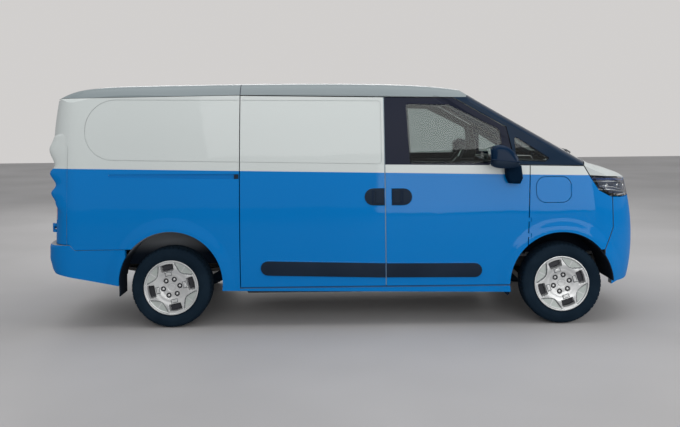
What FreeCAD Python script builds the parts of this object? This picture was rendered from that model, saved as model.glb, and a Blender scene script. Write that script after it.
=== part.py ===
import FreeCAD, Part
from FreeCAD import Vector, Placement, Rotation
import math
import os

os.makedirs("parts", exist_ok=True)

# Whole vehicle, in millimetres: X forward, Y to the left, Z up, ground at Z 0
FRONT_AXLE_X = 1736.0
REAR_AXLE_X = -1434.0
WHEEL_Z = 326.0
WHEEL_Y = 805.0
TYRE_RADIUS = 326.0
RIM_RADIUS = 221.0
HALF_WIDTH = 935.0
WIDEST_Z = 760.0
BUMPER_TAIL_X = -2485.0
ROOF_Z = 2000.0

# Walls and gaps
WALL = 60.0
THIN_WALL = 25.0
SHUT_GAP = 8.0
GLASS = 5.0
SEAT_GAP = 0.3
PIN_GAP = 0.4

# Body lines read from the side, as (x, z)
SILL_TOP_Z = 325.0
CENTRE_GAP_X = 310.0
SLIDE_REAR_X = -868.0
ARCH_RADIUS = 423.0
REAR_ARCH_Z = 362.0
ROOF_SEAM = [(-2600, 1872), (-868, 1886), (310, 1861), (949, 1850)]
DOOR_FRONT = [(880, 1847), (1305, 1600), (1344, 1414), (1352, 1299), (1487, 1296), (1487, 1266),
              (1458, 635), (1440, SILL_TOP_Z)]
FENDER = [(1487, 1290), (1925, 1280), (1971, 1199), (2050, 1080), (2147, 1030), (2173, 1022),
          (2170, 772), (2093, 595), (1458, 595), (1458, 635), (1487, 1266)]
BONNET_EDGE = [(1925, 1280), (1971, 1199), (2221, 1177), (2330, 1160), (2600, 1125)]
LAMP = [(1971, 1199), (2221, 1177), (2330, 1160), (2600, 1125), (2600, 1005), (2248, 1015),
        (2147, 1030), (2050, 1080)]
LAMP_INNER_Y = 560.0
DOOR_GLASS = [(490, 1799), (512, 1310), (1275, 1309), (1254, 1553), (1238, 1587), (843, 1788)]
QUARTER_GLASS = [(1365, 1531), (1373, 1325), (1607, 1315), (1656, 1340)]
FLAP = [(1534, 990), (1813, 990), (1813, 1193), (1534, 1193)]
FLAP_CORNER = 75.0
REAR_DOOR_HALF = 760.0
REAR_DOOR_LOW = 690.0
REAR_DOOR_TOP = 1860.0

# Plan shape of the body sides
STRAIGHT_FRONT_X = 1700.0
STRAIGHT_REAR_X = -2150.0
FRONT_POWER = 3.0
REAR_POWER = 4.0
SIDE_LEVELS = [200, 450, 700, 950, 1200, 1450, 1700, 1950, 2150]
NOSE_LINE = [(200, 2385), (420, 2465), (650, 2485), (950, 2465), (1180, 2415), (1400, 2370), (2150, 2300)]
TAIL_LINE = [(200, -2430), (700, -2446), (900, -2440), (1166, -2452), (1335, -2468), (1560, -2484), (1874, -2440),
             (2150, -2395)]

# Roof, screen and bonnet lines on the centre plane, as (x, z)
ROOF_LINE = [(-2640, 1690), (-2520, 1800), (-2400, 1885), (-2280, 1945), (-2100, 1980), (-1700, 1996),
             (-1200, ROOF_Z), (-500, ROOF_Z), (0, 1995), (400, 1984), (700, 1966), (900, 1943),
             (1080, 1908), (1250, 1850), (1450, 1755), (1650, 1630)]
ROOF_CROWN = 42.0
ROOF_ROLL, ROOF_SOFT = 110.0, 78.0
COLUMNS = (0.0, 0.3, 0.58, 0.8, 0.91, 0.97, 1.03, 1.09, 1.2)
SCREEN_TOP = (1085, 1884)
SCREEN_FALL = 0.58
SCREEN_BOW = 130.0
SCREEN_CROWN = 20.0
SCREEN_ROLL, SCREEN_SOFT = 60.0, 45.0
BONNET_LINE = [(1500, 1365), (1750, 1338), (1950, 1308), (2080, 1284), (2200, 1256), (2300, 1220),
               (2380, 1174), (2440, 1112), (2490, 1020), (2540, 880)]
BONNET_CROWN = 50.0
BONNET_ROLL, BONNET_SOFT = 90.0, 75.0
HEADER_X = 1092.0
COWL_X = 2072.0
COWL_BOW = 145.0


def between(points, at, eased=True):
    if at <= points[0][0]:
        return points[0][1]
    for (a, low), (b, high) in zip(points, points[1:]):
        if at <= b:
            share = (at - a) / (b - a)
            if eased:
                share = share * share * (3 - 2 * share)
            return low + (high - low) * share
    return points[-1][1]


def half_width(z):
    if z < 1250:
        return HALF_WIDTH - 20 * ((z - WIDEST_Z) / 450.0) ** 2
    up = (z - 1250) / 630.0
    return HALF_WIDTH - 20 * ((1250 - WIDEST_Z) / 450.0) ** 2 - 58 * up - 35 * up * up


def plan_half_width(x, z):
    if x < STRAIGHT_FRONT_X:
        return half_width(z)
    share = min(1.0, (x - STRAIGHT_FRONT_X) / (between(NOSE_LINE, z) - STRAIGHT_FRONT_X))
    return half_width(z) * (1 - share ** FRONT_POWER) ** (1 / FRONT_POWER)


# Plane outlines and prisms
def rounded(points, radius):
    """Corner points in a plane become a list of pieces, two points for a line, three for an arc."""
    count = len(points)
    radii = radius if isinstance(radius, (list, tuple)) else [radius] * count
    starts, ends, mids = [], [], []
    for i in range(count):
        (ax, ay), (px, py), (bx, by) = points[i - 1], points[i], points[(i + 1) % count]
        la, lb = math.hypot(ax - px, ay - py), math.hypot(bx - px, by - py)
        ua, ub = ((ax - px) / la, (ay - py) / la), ((bx - px) / lb, (by - py) / lb)
        half = math.acos(max(-1, min(1, ua[0] * ub[0] + ua[1] * ub[1]))) / 2
        if radii[i] <= 0 or half > 1.56:
            starts.append((px, py))
            ends.append((px, py))
            mids.append(None)
            continue
        reach = radii[i] / math.tan(half)
        starts.append((px + ua[0] * reach, py + ua[1] * reach))
        ends.append((px + ub[0] * reach, py + ub[1] * reach))
        length = math.hypot(ua[0] + ub[0], ua[1] + ub[1])
        out = radii[i] / math.sin(half) - radii[i]
        mids.append((px + (ua[0] + ub[0]) / length * out, py + (ua[1] + ub[1]) / length * out))
    pieces = []
    for i in range(count):
        if mids[i]:
            pieces.append([starts[i], mids[i], ends[i]])
        after = starts[(i + 1) % count]
        if math.hypot(after[0] - ends[i][0], after[1] - ends[i][1]) > 1e-6:
            pieces.append([ends[i], after])
    return pieces


def outline_face(points, radius, place):
    edges = []
    for piece in rounded(points, radius):
        at = [place(*p) for p in piece]
        edges.append(Part.Arc(*at).toShape() if len(at) == 3 else Part.makeLine(*at))
    return Part.Face(Part.Wire(edges))


def grown(face, by):
    return face if by == 0 else face.makeOffset2D(by, 2)


def side_prism(points, y0, y1, radius=0.0, grow=0.0):
    face = grown(outline_face(points, radius, lambda x, z: Vector(x, y0, z)), grow)
    return face.extrude(Vector(0, y1 - y0, 0))


def plan_prism(points, z0, z1, radius=0.0, grow=0.0):
    face = grown(outline_face(points, radius, lambda x, y: Vector(x, y, z0)), grow)
    return face.extrude(Vector(0, 0, z1 - z0))


def back_prism(points, x0, x1, radius=0.0, grow=0.0):
    face = grown(outline_face(points, radius, lambda y, z: Vector(x0, y, z)), grow)
    return face.extrude(Vector(x1 - x0, 0, 0))


def block(x0, x1, y0, y1, z0, z1, edge=0.0):
    shape = Part.makeBox(x1 - x0, y1 - y0, z1 - z0, Vector(x0, y0, z0))
    return shape.makeFillet(edge, shape.Edges) if edge else shape


def mirrored(shape):
    return shape.mirror(Vector(0, 0, 0), Vector(0, 1, 0))


def pair(shape):
    return [shape, mirrored(shape)]


def rod(x, y, z, dx, dy, dz, radius):
    length = math.sqrt(dx * dx + dy * dy + dz * dz)
    return Part.makeCylinder(radius, length, Vector(x, y, z), Vector(dx, dy, dz))


def joined(shapes):
    whole = shapes[0]
    for shape in shapes[1:]:
        whole = whole.fuse(shape)
    return whole.removeSplitter()


def keep(name, shape):
    solids = []
    for item in shape if isinstance(shape, (list, tuple)) else [shape]:
        solids += [s for s in item.Solids if s.Volume > 200.0]
    whole = solids[0] if len(solids) == 1 else Part.makeCompound(solids)
    whole.exportStep("parts/" + name + ".step")
    box = whole.BoundBox
    print(name, len(solids), "valid" if whole.isValid() else "BAD", round(whole.Volume / 1e6, 2), "litres",
          [round(v) for v in (box.XMin, box.XMax, box.YMin, box.YMax, box.ZMin, box.ZMax)])


# Body envelope: lofted sides cut by the roof, screen and bonnet surfaces
def plan_wire(z, inset, tail=TAIL_LINE, power=REAR_POWER):
    wide = half_width(z) - inset
    front = between(NOSE_LINE, z) - inset
    rear = between(tail, z) + inset
    half = []
    for i in range(6):
        turn = math.pi / 2 * i / 6
        half.append((STRAIGHT_REAR_X - (STRAIGHT_REAR_X - rear) * math.cos(turn) ** (2 / power),
                     wide * math.sin(turn) ** (2 / power)))
    for i in range(5):
        half.append((STRAIGHT_REAR_X + (STRAIGHT_FRONT_X - STRAIGHT_REAR_X) * i / 5, wide))
    for i in range(8):
        turn = math.pi / 2 * i / 7
        half.append((STRAIGHT_FRONT_X + (front - STRAIGHT_FRONT_X) * math.sin(turn) ** (2 / FRONT_POWER),
                     wide * math.cos(turn) ** (2 / FRONT_POWER)))
    points = [Vector(x, y, z) for x, y in half] + [Vector(x, -y, z) for x, y in half[-2:0:-1]]
    curve = Part.BSplineCurve()
    curve.interpolate(points, PeriodicFlag=True)
    return Part.Wire(curve.toShape())


def sides(inset):
    return Part.makeLoft([plan_wire(z, inset) for z in SIDE_LEVELS], True, False)


def surface(rows):
    sheet = Part.BSplineSurface()
    sheet.interpolate(rows)
    return sheet.toShape()


def across(edge, crown, roll, softness):
    """Places (y, drop) across a crowned panel that rolls over near its side edges."""
    half = []
    for share in COLUMNS:
        y = edge * share
        past = max(0.0, y - (edge - roll))
        last = min(past, roll + 30.0)
        drop = last * last / (2 * softness) + (past - last) * (roll + 30.0) / softness
        half.append((y, crown * (y / 900) ** 2 + drop))
    return [(-y, drop) for y, drop in reversed(half[1:])] + half


def roof_rows(inset):
    rows = []
    for x, z in ROOF_LINE:
        edge = half_width(z - ROOF_CROWN - 70)
        section = across(edge, ROOF_CROWN, ROOF_ROLL, ROOF_SOFT)
        rows.append([Vector(x, y, z - drop - inset) for y, drop in section])
    return rows


def screen_rows(inset):
    rows = []
    for run in (-260, 200, 660, 1120, 1580, 1900):
        x = SCREEN_TOP[0] + run
        z = SCREEN_TOP[1] - SCREEN_FALL * run
        edge = half_width(z - SCREEN_CROWN)
        rows.append([Vector(x - SCREEN_BOW * (y / 900) ** 2, y, z - drop - inset)
                     for y, drop in across(edge, SCREEN_CROWN, SCREEN_ROLL, SCREEN_SOFT)])
    return rows


def bonnet_rows(inset):
    rows = []
    for x, z in BONNET_LINE:
        edge = max(plan_half_width(x, 1190), 600)
        section = across(edge, BONNET_CROWN, BONNET_ROLL, BONNET_SOFT)
        rows.append([Vector(x, y, z - drop - inset) for y, drop in section])
    return rows


def below(rows):
    return surface(rows).extrude(Vector(0, 0, -2600))


def above(rows):
    return surface(rows).extrude(Vector(0, 0, 2600))


def envelope(inset):
    whole = sides(inset)
    cab = whole.cut(above(roof_rows(inset))).cut(above(screen_rows(1.15 * inset)))
    front = whole.common(block(1780, 2700, -1200, 1200, 100, 2400)).common(below(bonnet_rows(inset)))
    return cab.fuse(front)


OUTER = envelope(0.0)
INNER = envelope(WALL)
INNER_THIN = envelope(THIN_WALL)
SHELL = OUTER.cut(INNER)
THIN_SHELL = OUTER.cut(INNER_THIN)
FAR = 1400.0
MID = 450.0

front_arch = rod(FRONT_AXLE_X, -FAR, WHEEL_Z, 0, 2 * FAR, 0, ARCH_RADIUS)
rear_arch = rod(REAR_AXLE_X, -FAR, REAR_ARCH_Z, 0, 2 * FAR, 0, ARCH_RADIUS)


def wall_piece(cell, shell=SHELL):
    return shell.common(cell)


def inset_prism(points, y0, y1, radius=0.0):
    return side_prism(points, y0, y1, radius, -SHUT_GAP / 2)


def bowed(x, z0, z1, bow, forward):
    """Everything ahead of, or behind, a bowed line across the car."""
    curve = Part.BSplineCurve()
    points = []
    for i in range(-7, 8):
        y = FAR * i / 7
        points.append(Vector(x - bow * (y / 900) ** 2, y, z0))
    curve.interpolate(points)
    far_x = 3500.0 if forward else -3500.0
    edges = [curve.toShape(), Part.makeLine(points[-1], Vector(far_x, FAR, z0)),
             Part.makeLine(Vector(far_x, FAR, z0), Vector(far_x, -FAR, z0)),
             Part.makeLine(Vector(far_x, -FAR, z0), points[0])]
    return Part.Face(Part.Wire(edges)).extrude(Vector(0, 0, z1 - z0))


# Doors, left side first; the right side is the mirror image
door_cell = [(CENTRE_GAP_X, SILL_TOP_Z), (CENTRE_GAP_X, 1857)] + DOOR_FRONT
DOOR_AXIS_X, DOOR_AXIS_Y = 1480.0, 928.0
DOOR_HINGES = (710.0, 835.0)
LUG_HIGH = 30.0
KNUCKLE = 6.5
DOOR_PIN = 3.5
KNUCKLE_ROOM = 1.4


def lug(z0, z1):
    """Door side of a hinge: a plate from the door's edge with the eye round the pin."""
    plate = block(DOOR_AXIS_X - 40, DOOR_AXIS_X, DOOR_AXIS_Y - KNUCKLE, DOOR_AXIS_Y + KNUCKLE - 1, z0, z1)
    eye = rod(DOOR_AXIS_X, DOOR_AXIS_Y, z0, 0, 0, z1 - z0, KNUCKLE)
    return plate.fuse(eye)


def hinge_room(z0, z1):
    """Free space in the fender round the door side of a hinge."""
    reach = KNUCKLE + KNUCKLE_ROOM
    return block(DOOR_AXIS_X - 40, DOOR_AXIS_X + reach, DOOR_AXIS_Y - reach, DOOR_AXIS_Y + 40, z0, z1)


def side_slab(points, depth0, depth1, radius, grow):
    """Part of a wall that lies between two depths below the straight side of the body."""
    levels = [150 + 100 * i for i in range(20)]
    outer = [(half_width(z) - depth0, z) for z in levels]
    inner = [(half_width(z) - depth1, z) for z in reversed(levels)]
    slab = back_prism(outer + inner, -2100, 1690)
    return slab.common(side_prism(points, 500, FAR, radius, grow))


def groove(points, radius, width, depth):
    """Cutter for a line pressed into the left side: a thin frame along the outline, down to the depth."""
    line = side_prism(points, 600, FAR, radius).cut(side_prism(points, 500, FAR + 100, radius, -width))
    return line.cut(OUTER.translated(Vector(0, -depth, 0)))


GLASS_DEPTH = 7.0
GLASS_LIP = 14.0
door = wall_piece(inset_prism(door_cell, MID, FAR)).cut(front_arch)
door = door.cut(side_slab(DOOR_GLASS, -40, GLASS_DEPTH + GLASS, 26, 0))
door = door.cut(side_prism(DOOR_GLASS, 500, FAR, 26, -GLASS_LIP))
door_glass = side_slab(DOOR_GLASS, GLASS_DEPTH, GLASS_DEPTH + GLASS - SEAT_GAP, 26, -SEAT_GAP)
for z in DOOR_HINGES:
    door = door.fuse(lug(z, z + LUG_HIGH))
    door = door.cut(rod(DOOR_AXIS_X, DOOR_AXIS_Y, z - 20, 0, 0, LUG_HIGH + 40, DOOR_PIN + PIN_GAP))
keep("door_left", door)
keep("door_right", mirrored(door))
keep("door_glass_left", door_glass)
keep("door_glass_right", mirrored(door_glass))

# Door trims: rub strip, handle plate and mirror
STRIP = [(CENTRE_GAP_X, 398), (1085, 392), (1085, 507), (CENTRE_GAP_X, 513)]
HANDLE = [(362, 978), (529, 978), (529, 1113), (362, 1113)]
STRIP_STAND = 9.0
STRIP_CORNER, HANDLE_CORNER = 56.0, 66.0
MIRROR_HEAD = [(1152, 1262), (1350, 1255), (1396, 1290), (1380, 1370), (1290, 1455), (1200, 1466), (1155, 1420)]
MIRROR_FOOT = [(1275, 1262), (1395, 1262), (1411, 1180), (1385, 1141), (1300, 1150)]
half_gap = SHUT_GAP / 2
strip_points = [(CENTRE_GAP_X + half_gap + 1, STRIP[0][1]), STRIP[1], STRIP[2],
                (CENTRE_GAP_X + half_gap + 1, STRIP[3][1])]


def trim_piece(points, corners):
    return side_slab(points, -STRIP_STAND, 3.0, corners, 0).cut(OUTER)


strip = trim_piece(strip_points, [0, STRIP_CORNER, STRIP_CORNER, 0])
handle = trim_piece(HANDLE, [0, HANDLE_CORNER, HANDLE_CORNER, 0])
head = side_prism(MIRROR_HEAD, 955, 1135, 30)
head = head.makeFillet(26, [e for e in head.Edges if abs(e.BoundBox.YMin - e.BoundBox.YMax) < 1])
foot = side_prism(MIRROR_FOOT, 880, 985, 20).cut(INNER_THIN).cut(OUTER)
foot = foot.fuse(block(1290, 1385, 900, 985, 1240, 1275).cut(OUTER))
mirror = joined([head, foot])
keep("door_trim_left", [strip, handle, mirror])
keep("door_trim_right", [mirrored(s) for s in (strip, handle, mirror)])

# Outline pressed into the side where other versions have windows
WINDOW_PRESS = [(-2134, 1862), (285, 1828), (285, 1309), (-2134, 1366)]
PRESS_CORNERS = [240, 30, 30, 240]
PRESS_WIDTH, PRESS_DEPTH = 6.0, 5.0
window_press = groove(WINDOW_PRESS, PRESS_CORNERS, PRESS_WIDTH, PRESS_DEPTH)

# Sliding door on the right, fixed here, with its trim
slide_cell = [(SLIDE_REAR_X, SILL_TOP_Z), (CENTRE_GAP_X, SILL_TOP_Z), (CENTRE_GAP_X, 1857), (SLIDE_REAR_X, 1882)]
slide_near = wall_piece(inset_prism(slide_cell, MID, FAR))
SLIDE_STRIP = [(-702, 541), (-702, 424), (CENTRE_GAP_X - half_gap - 1, 400), (CENTRE_GAP_X - half_gap - 1, 515)]
SLIDE_HANDLE = [(144, 979), (303, 979), (303, 1120), (144, 1120)]
slide_strip = trim_piece(SLIDE_STRIP, [STRIP_CORNER, STRIP_CORNER, 0, 0])
slide_handle = trim_piece(SLIDE_HANDLE, [HANDLE_CORNER + 2, 0, 0, HANDLE_CORNER + 2])
keep("sliding_door", mirrored(slide_near.cut(window_press)))
keep("sliding_door_trim", [mirrored(slide_strip), mirrored(slide_handle)])

# Rear doors with glass
rear_cell = [(half_gap, REAR_DOOR_LOW), (REAR_DOOR_HALF, REAR_DOOR_LOW), (REAR_DOOR_HALF, REAR_DOOR_TOP),
             (half_gap, REAR_DOOR_TOP)]
DOOR_BACK_X = -2330.0
rear_opening = [(-REAR_DOOR_HALF, REAR_DOOR_LOW), (REAR_DOOR_HALF, REAR_DOOR_LOW),
                (REAR_DOOR_HALF, REAR_DOOR_TOP), (-REAR_DOOR_HALF, REAR_DOOR_TOP)]
REAR_GLASS = [(110, 1330), (650, 1330), (632, 1770), (110, 1770)]


def tail_slab(points, depth0, depth1, radius, grow):
    rows = []
    for z in range(1200, 1950, 100):
        row = []
        for y in range(0, 801, 100):
            reach = STRAIGHT_REAR_X - between(TAIL_LINE, z)
            bend = (1 - (y / half_width(z)) ** REAR_POWER) ** (1 / REAR_POWER)
            row.append(Vector(STRAIGHT_REAR_X - reach * bend + depth0, y, z))
        rows.append(row)
    slab = surface(rows).extrude(Vector(depth1 - depth0, 0, 0))
    return slab.common(back_prism(points, -2600, -2100, radius, grow))


REAR_AXIS_X, REAR_AXIS_Y = -2426.0, REAR_DOOR_HALF + 4.0
HINGE_HIGH = 70.0
HINGE_PIN = 5.0
KNUCKLE_WIDE = 10.0
REAR_HINGES = (775.0, 1423.0)
REAR_LEAF = [(-10, 0), (-14, -50), (-6, -88), (50, -88), (50, -12), (4, -12), (10, 0)]
SIDE_LEAF = [(-10, 0), (-6, 12), (14, 40), (60, 40), (60, 6), (20, 6), (10, 0)]


def leaf(points, z0, z1):
    """One half of a rear hinge: a strap drawn from its axis, with the knuckle round the pin."""
    placed = [(REAR_AXIS_X + x, REAR_AXIS_Y + y) for x, y in points]
    strap = plan_prism(placed, z0, z1).fuse(rod(REAR_AXIS_X, REAR_AXIS_Y, z0, 0, 0, z1 - z0, KNUCKLE_WIDE))
    return strap.cut(INNER)


def knuckle_room(z0, z1):
    return rod(REAR_AXIS_X, REAR_AXIS_Y, z0, 0, 0, z1 - z0, KNUCKLE_WIDE + 1.5)


rear_door = wall_piece(back_prism(rear_cell, -2600, DOOR_BACK_X, 0, -1)).cut(
    block(-2600, -2100, REAR_DOOR_HALF - half_gap, 1000, 500, 2000)).cut(
    block(-2600, -2100, 0, 1000, REAR_DOOR_TOP - half_gap, 2000))
rear_door = rear_door.cut(tail_slab(REAR_GLASS, -60, GLASS_DEPTH + GLASS, 50, 0))
rear_door = rear_door.cut(back_prism(REAR_GLASS, -2600, -2100, 50, -GLASS_LIP))
for z in REAR_HINGES:
    rear_door = rear_door.cut(knuckle_room(z - 2, z + HINGE_HIGH + 2)).fuse(leaf(REAR_LEAF, z + 24, z + 46))
    rear_door = rear_door.cut(rod(REAR_AXIS_X, REAR_AXIS_Y, z, 0, 0, HINGE_HIGH, HINGE_PIN + PIN_GAP))
rear_glass = tail_slab(REAR_GLASS, GLASS_DEPTH, GLASS_DEPTH + GLASS - SEAT_GAP, 50, -SEAT_GAP)
keep("rear_door_left", rear_door)
keep("rear_door_right", mirrored(rear_door))
keep("rear_glass_left", rear_glass)
keep("rear_glass_right", mirrored(rear_glass))

# Side panels with the sill below the doors
rear_gap = back_prism(rear_opening, -2700, DOOR_BACK_X + 5, 0, half_gap)
TAIL_LAMP = [(784, 880), (860, 880), (826, 1400), (784, 1400)]
tail_lamp_cell = back_prism(TAIL_LAMP, -2700, -2330, 18)
lamp_pocket = back_prism(TAIL_LAMP, -2700, -2330, 18, SEAT_GAP)
tail_lamp = wall_piece(tail_lamp_cell, THIN_SHELL)


# Corner fairing with its three soft bulges, drawn in plan at many heights, and the seam round it
FAIRING_X = -2235.0
BULGES = [(930, -2325), (1020, -2368), (1105, -2405), (1166, -2368), (1267, -2418), (1325, -2382), (1458, -2428),
          (1556, -2396), (1590, -2350)]
FAIRING_PLAN = [(0, 6), (0.2, 5), (0.5, 10), (0.82, 22), (0.96, 35), (1.0, 46), (0.965, 56), (0.85, 61), (0.65, 60),
                (0.35, 50), (0.1, 28)]
FAIRING_STEP = 22.0
FAIRING_SEAM = [(-2700, 1556), (-2260, 1556), (-2260, 500), (-2700, 500)]
SEAM_CORNERS = [0, 110, 0, 0]
SEAM_WIDTH, SEAM_DEPTH = 5.0, 5.0
levels = int((BULGES[-1][0] - BULGES[0][0]) / FAIRING_STEP)
rings = []
for i in range(levels + 1):
    z = BULGES[0][0] + FAIRING_STEP * i
    reach = between(BULGES, z) - FAIRING_X
    curve = Part.BSplineCurve()
    curve.interpolate([Vector(FAIRING_X + reach * share, half_width(z) - drop, z) for share, drop in FAIRING_PLAN],
                      PeriodicFlag=True)
    rings.append(Part.Wire(curve.toShape()))
fairing = Part.makeLoft(rings, True, False)
fairing_seam = groove(FAIRING_SEAM, SEAM_CORNERS, SEAM_WIDTH, SEAM_DEPTH)


def quarter(front_x, top_z):
    cell = [(-2700, 690), (-2243, 690), (-2203, 645), (front_x, 645), (front_x, top_z), (-2700, 1869)]
    sill = [(-1040, 300), (1330, 266), (1330, SILL_TOP_Z - SHUT_GAP), (front_x - 4, SILL_TOP_Z - SHUT_GAP),
            (front_x - 4, SILL_TOP_Z + 4), (-1040, SILL_TOP_Z + 4)]
    panel = wall_piece(side_prism(cell, MID, FAR))
    panel = panel.fuse(wall_piece(side_prism([(-1450, 300), (front_x - half_gap, 300), (front_x - half_gap, 700),
                                              (-1450, 700)], MID, FAR)))
    panel = panel.cut(side_prism([(front_x - half_gap, 0), (front_x + 200, 0), (front_x + 200, 2200),
                                  (front_x - half_gap, 2200)], MID, FAR))
    panel = panel.fuse(wall_piece(side_prism(sill, MID, FAR)))
    panel = panel.cut(window_press).cut(fairing_seam).fuse(fairing)
    panel = panel.cut(rear_arch).cut(front_arch).cut(rear_gap).cut(lamp_pocket)
    for z in REAR_HINGES:
        panel = panel.cut(knuckle_room(z + 22, z + 48))
        panel = panel.fuse(leaf(SIDE_LEAF, z, z + 22)).fuse(leaf(SIDE_LEAF, z + 48, z + HINGE_HIGH))
        panel = panel.fuse(rod(REAR_AXIS_X, REAR_AXIS_Y, z, 0, 0, HINGE_HIGH, HINGE_PIN))
    return panel


SLIDE_RAIL = [(-1930, 1250), (-860, 1243), (-860, 1203), (-1930, 1226)]
RAIL_DEPTH = 14.0
right_quarter = quarter(SLIDE_REAR_X, 1882).cut(side_slab(SLIDE_RAIL, -40, RAIL_DEPTH, [10, 0, 0, 10], 0))
keep("side_panel_right", mirrored(right_quarter))
keep("side_panel_left", quarter(CENTRE_GAP_X, 1857))
keep("tail_lamps", pair(tail_lamp))

# Roof
roof_cell = ROOF_SEAM + [(1300, 1850), (1300, 2300), (-2600, 2300)]
roof = wall_piece(side_prism(roof_cell, -FAR, FAR, 0, -SEAT_GAP))
roof = roof.cut(bowed(HEADER_X, 1500, 2300, SCREEN_BOW, True))
keep("roof_panel", roof)

# Cab frame: pillars, header and cowl, with the screen and quarter lights
SCREEN_HOLE = [(1062, 735), (1905, 815)]


def screen_outline(grow, z0, z1):
    (xa, ya), (xb, yb) = SCREEN_HOLE
    low = Part.Arc(Vector(xb, yb, z0), Vector(xb + 115, 0, z0), Vector(xb, -yb, z0)).toShape()
    top = Part.Arc(Vector(xa, -ya, z0), Vector(xa + 95, 0, z0), Vector(xa, ya, z0)).toShape()
    wire = Part.Wire([low, Part.makeLine(Vector(xb, -yb, z0), Vector(xa, -ya, z0)), top,
                      Part.makeLine(Vector(xa, ya, z0), Vector(xb, yb, z0))])
    return grown(Part.Face(wire), grow).extrude(Vector(0, 0, z1 - z0))


def screen_slab(depth0, depth1, grow):
    slab = surface(screen_rows(depth0 * 1.15)).extrude(Vector(0, 0, -(depth1 - depth0) * 1.15))
    return slab.common(screen_outline(grow, 1100, 2000))


frame_cell = [(860, 1862), (1305, 1604), (1348, 1414), (1356, 1299), (1487, 1294), (1925, 1284), (2300, 1284),
              (2300, 2300), (860, 2300)]
cab_frame = wall_piece(side_prism(frame_cell, -FAR, FAR, 0, -0.5))
roof_side = side_prism(roof_cell, -FAR, FAR).common(bowed(HEADER_X + 0.5, 1500, 2300, SCREEN_BOW, False))
cab_frame = cab_frame.cut(roof_side)
cab_frame = cab_frame.cut(bowed(COWL_X - SHUT_GAP, 1000, 2300, COWL_BOW, True))
cab_frame = cab_frame.cut(screen_slab(-60, GLASS, 0)).cut(screen_outline(-GLASS_LIP, 1100, 2100))
PIVOT_X, PIVOT_Z = 1926.0, 1298.0
PIVOT_Y0, PIVOT_Y1 = 690.0, 730.0
BONNET_ARM = [(PIVOT_X, PIVOT_Z - 11), (2046, 1240), (2046, 1256), (PIVOT_X, PIVOT_Z + 11)]
slot = block(PIVOT_X - 17, 1934, PIVOT_Y0 - 6, PIVOT_Y1 + 6, 1200, PIVOT_Z + 22).fuse(
    block(1934, 2030, PIVOT_Y0 - 6, PIVOT_Y1 + 6, 1200, 1420))
pivot = rod(PIVOT_X, PIVOT_Y0 - 12, PIVOT_Z, 0, PIVOT_Y1 - PIVOT_Y0 + 24, 0, HINGE_PIN)
cab_frame = cab_frame.cut(slot).cut(mirrored(slot)).fuse(pivot).fuse(mirrored(pivot))
quarter_glass = side_slab(QUARTER_GLASS, GLASS_DEPTH, GLASS_DEPTH + GLASS - SEAT_GAP, 16, -SEAT_GAP)
quarter_seat = side_slab(QUARTER_GLASS, -40, GLASS_DEPTH + GLASS, 16, 0)
quarter_hole = side_prism(QUARTER_GLASS, 500, FAR, 16, -10)
for hole in (quarter_seat, quarter_hole):
    cab_frame = cab_frame.cut(hole).cut(mirrored(hole))
screen = screen_slab(0, GLASS - SEAT_GAP, -SEAT_GAP)
keep("cab_frame", cab_frame)
keep("cab_glass", [screen] + pair(quarter_glass))

# Bonnet, fenders, lamps and front bumper
bonnet_cell = BONNET_EDGE + [(2600, 1600), (1700, 1600), (1700, 1280)]
bonnet = wall_piece(side_prism(bonnet_cell, -FAR, FAR, 0, -half_gap), THIN_SHELL)
bonnet = bonnet.common(bowed(COWL_X, 1000, 2300, COWL_BOW, True))
arm_eye = rod(PIVOT_X, PIVOT_Y0, PIVOT_Z, 0, PIVOT_Y1 - PIVOT_Y0, 0, 11)
bonnet_arm = side_prism(BONNET_ARM, PIVOT_Y0, PIVOT_Y1).fuse(arm_eye)
bonnet_arm = bonnet_arm.cut(rod(PIVOT_X, PIVOT_Y0 - 5, PIVOT_Z, 0, 60, 0, HINGE_PIN + PIN_GAP))
bonnet = bonnet.fuse(bonnet_arm).fuse(mirrored(bonnet_arm))
keep("bonnet", bonnet)

fender = wall_piece(inset_prism(FENDER, MID, FAR), THIN_SHELL).cut(front_arch)
for z in DOOR_HINGES:
    fender = fender.cut(hinge_room(z - KNUCKLE_ROOM, z + LUG_HIGH + KNUCKLE_ROOM))
    fender = fender.fuse(rod(DOOR_AXIS_X, DOOR_AXIS_Y, z - 12, 0, 0, LUG_HIGH + 24, DOOR_PIN))
flap_hole = side_prism(FLAP, 500, FAR, FLAP_CORNER, 5.0)
FLAP_AXIS_X, FLAP_AXIS_Y = 1815.5, 927.0
FLAP_KNUCKLE, FLAP_PIN = 4.2, 1.8
FLAP_HINGE_Z = (1055.0, 1074.0, 1106.0, 1125.0)


def flap_rod(z0, z1, radius):
    return rod(FLAP_AXIS_X, FLAP_AXIS_Y, z0, 0, 0, z1 - z0, radius)


flap_solid = OUTER.common(side_prism(FLAP, 800, FAR, FLAP_CORNER))
flap_solid = flap_solid.cut(flap_solid.translated(Vector(0, -5, 0)))
cup = block(1522, 1825, 835, half_width(1200) - THIN_WALL - 2, 978, 1205)
cup = cup.cut(block(1528, 1819, 841, 1000, 984, 1199))
socket = rod(1674, 841, 1092, 0, 30, 0, 42).cut(rod(1674, 850, 1092, 0, 40, 0, 30))
z0, z1, z2, z3 = FLAP_HINGE_Z
for low, high in ((z0, z1), (z2, z3)):
    flap_solid = flap_solid.cut(flap_rod(low - 1, high + 1, FLAP_KNUCKLE + 1))
flap_solid = flap_solid.fuse(flap_rod(z1 + 1, z2 - 1, FLAP_KNUCKLE)).cut(flap_rod(z0, z3, FLAP_PIN + PIN_GAP))
flap_fender = fender.cut(flap_hole).cut(flap_rod(z1, z2, FLAP_KNUCKLE + 1))
for low, high in ((z0, z1), (z2, z3)):
    flap_fender = flap_fender.fuse(flap_rod(low, high, FLAP_KNUCKLE))
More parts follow.
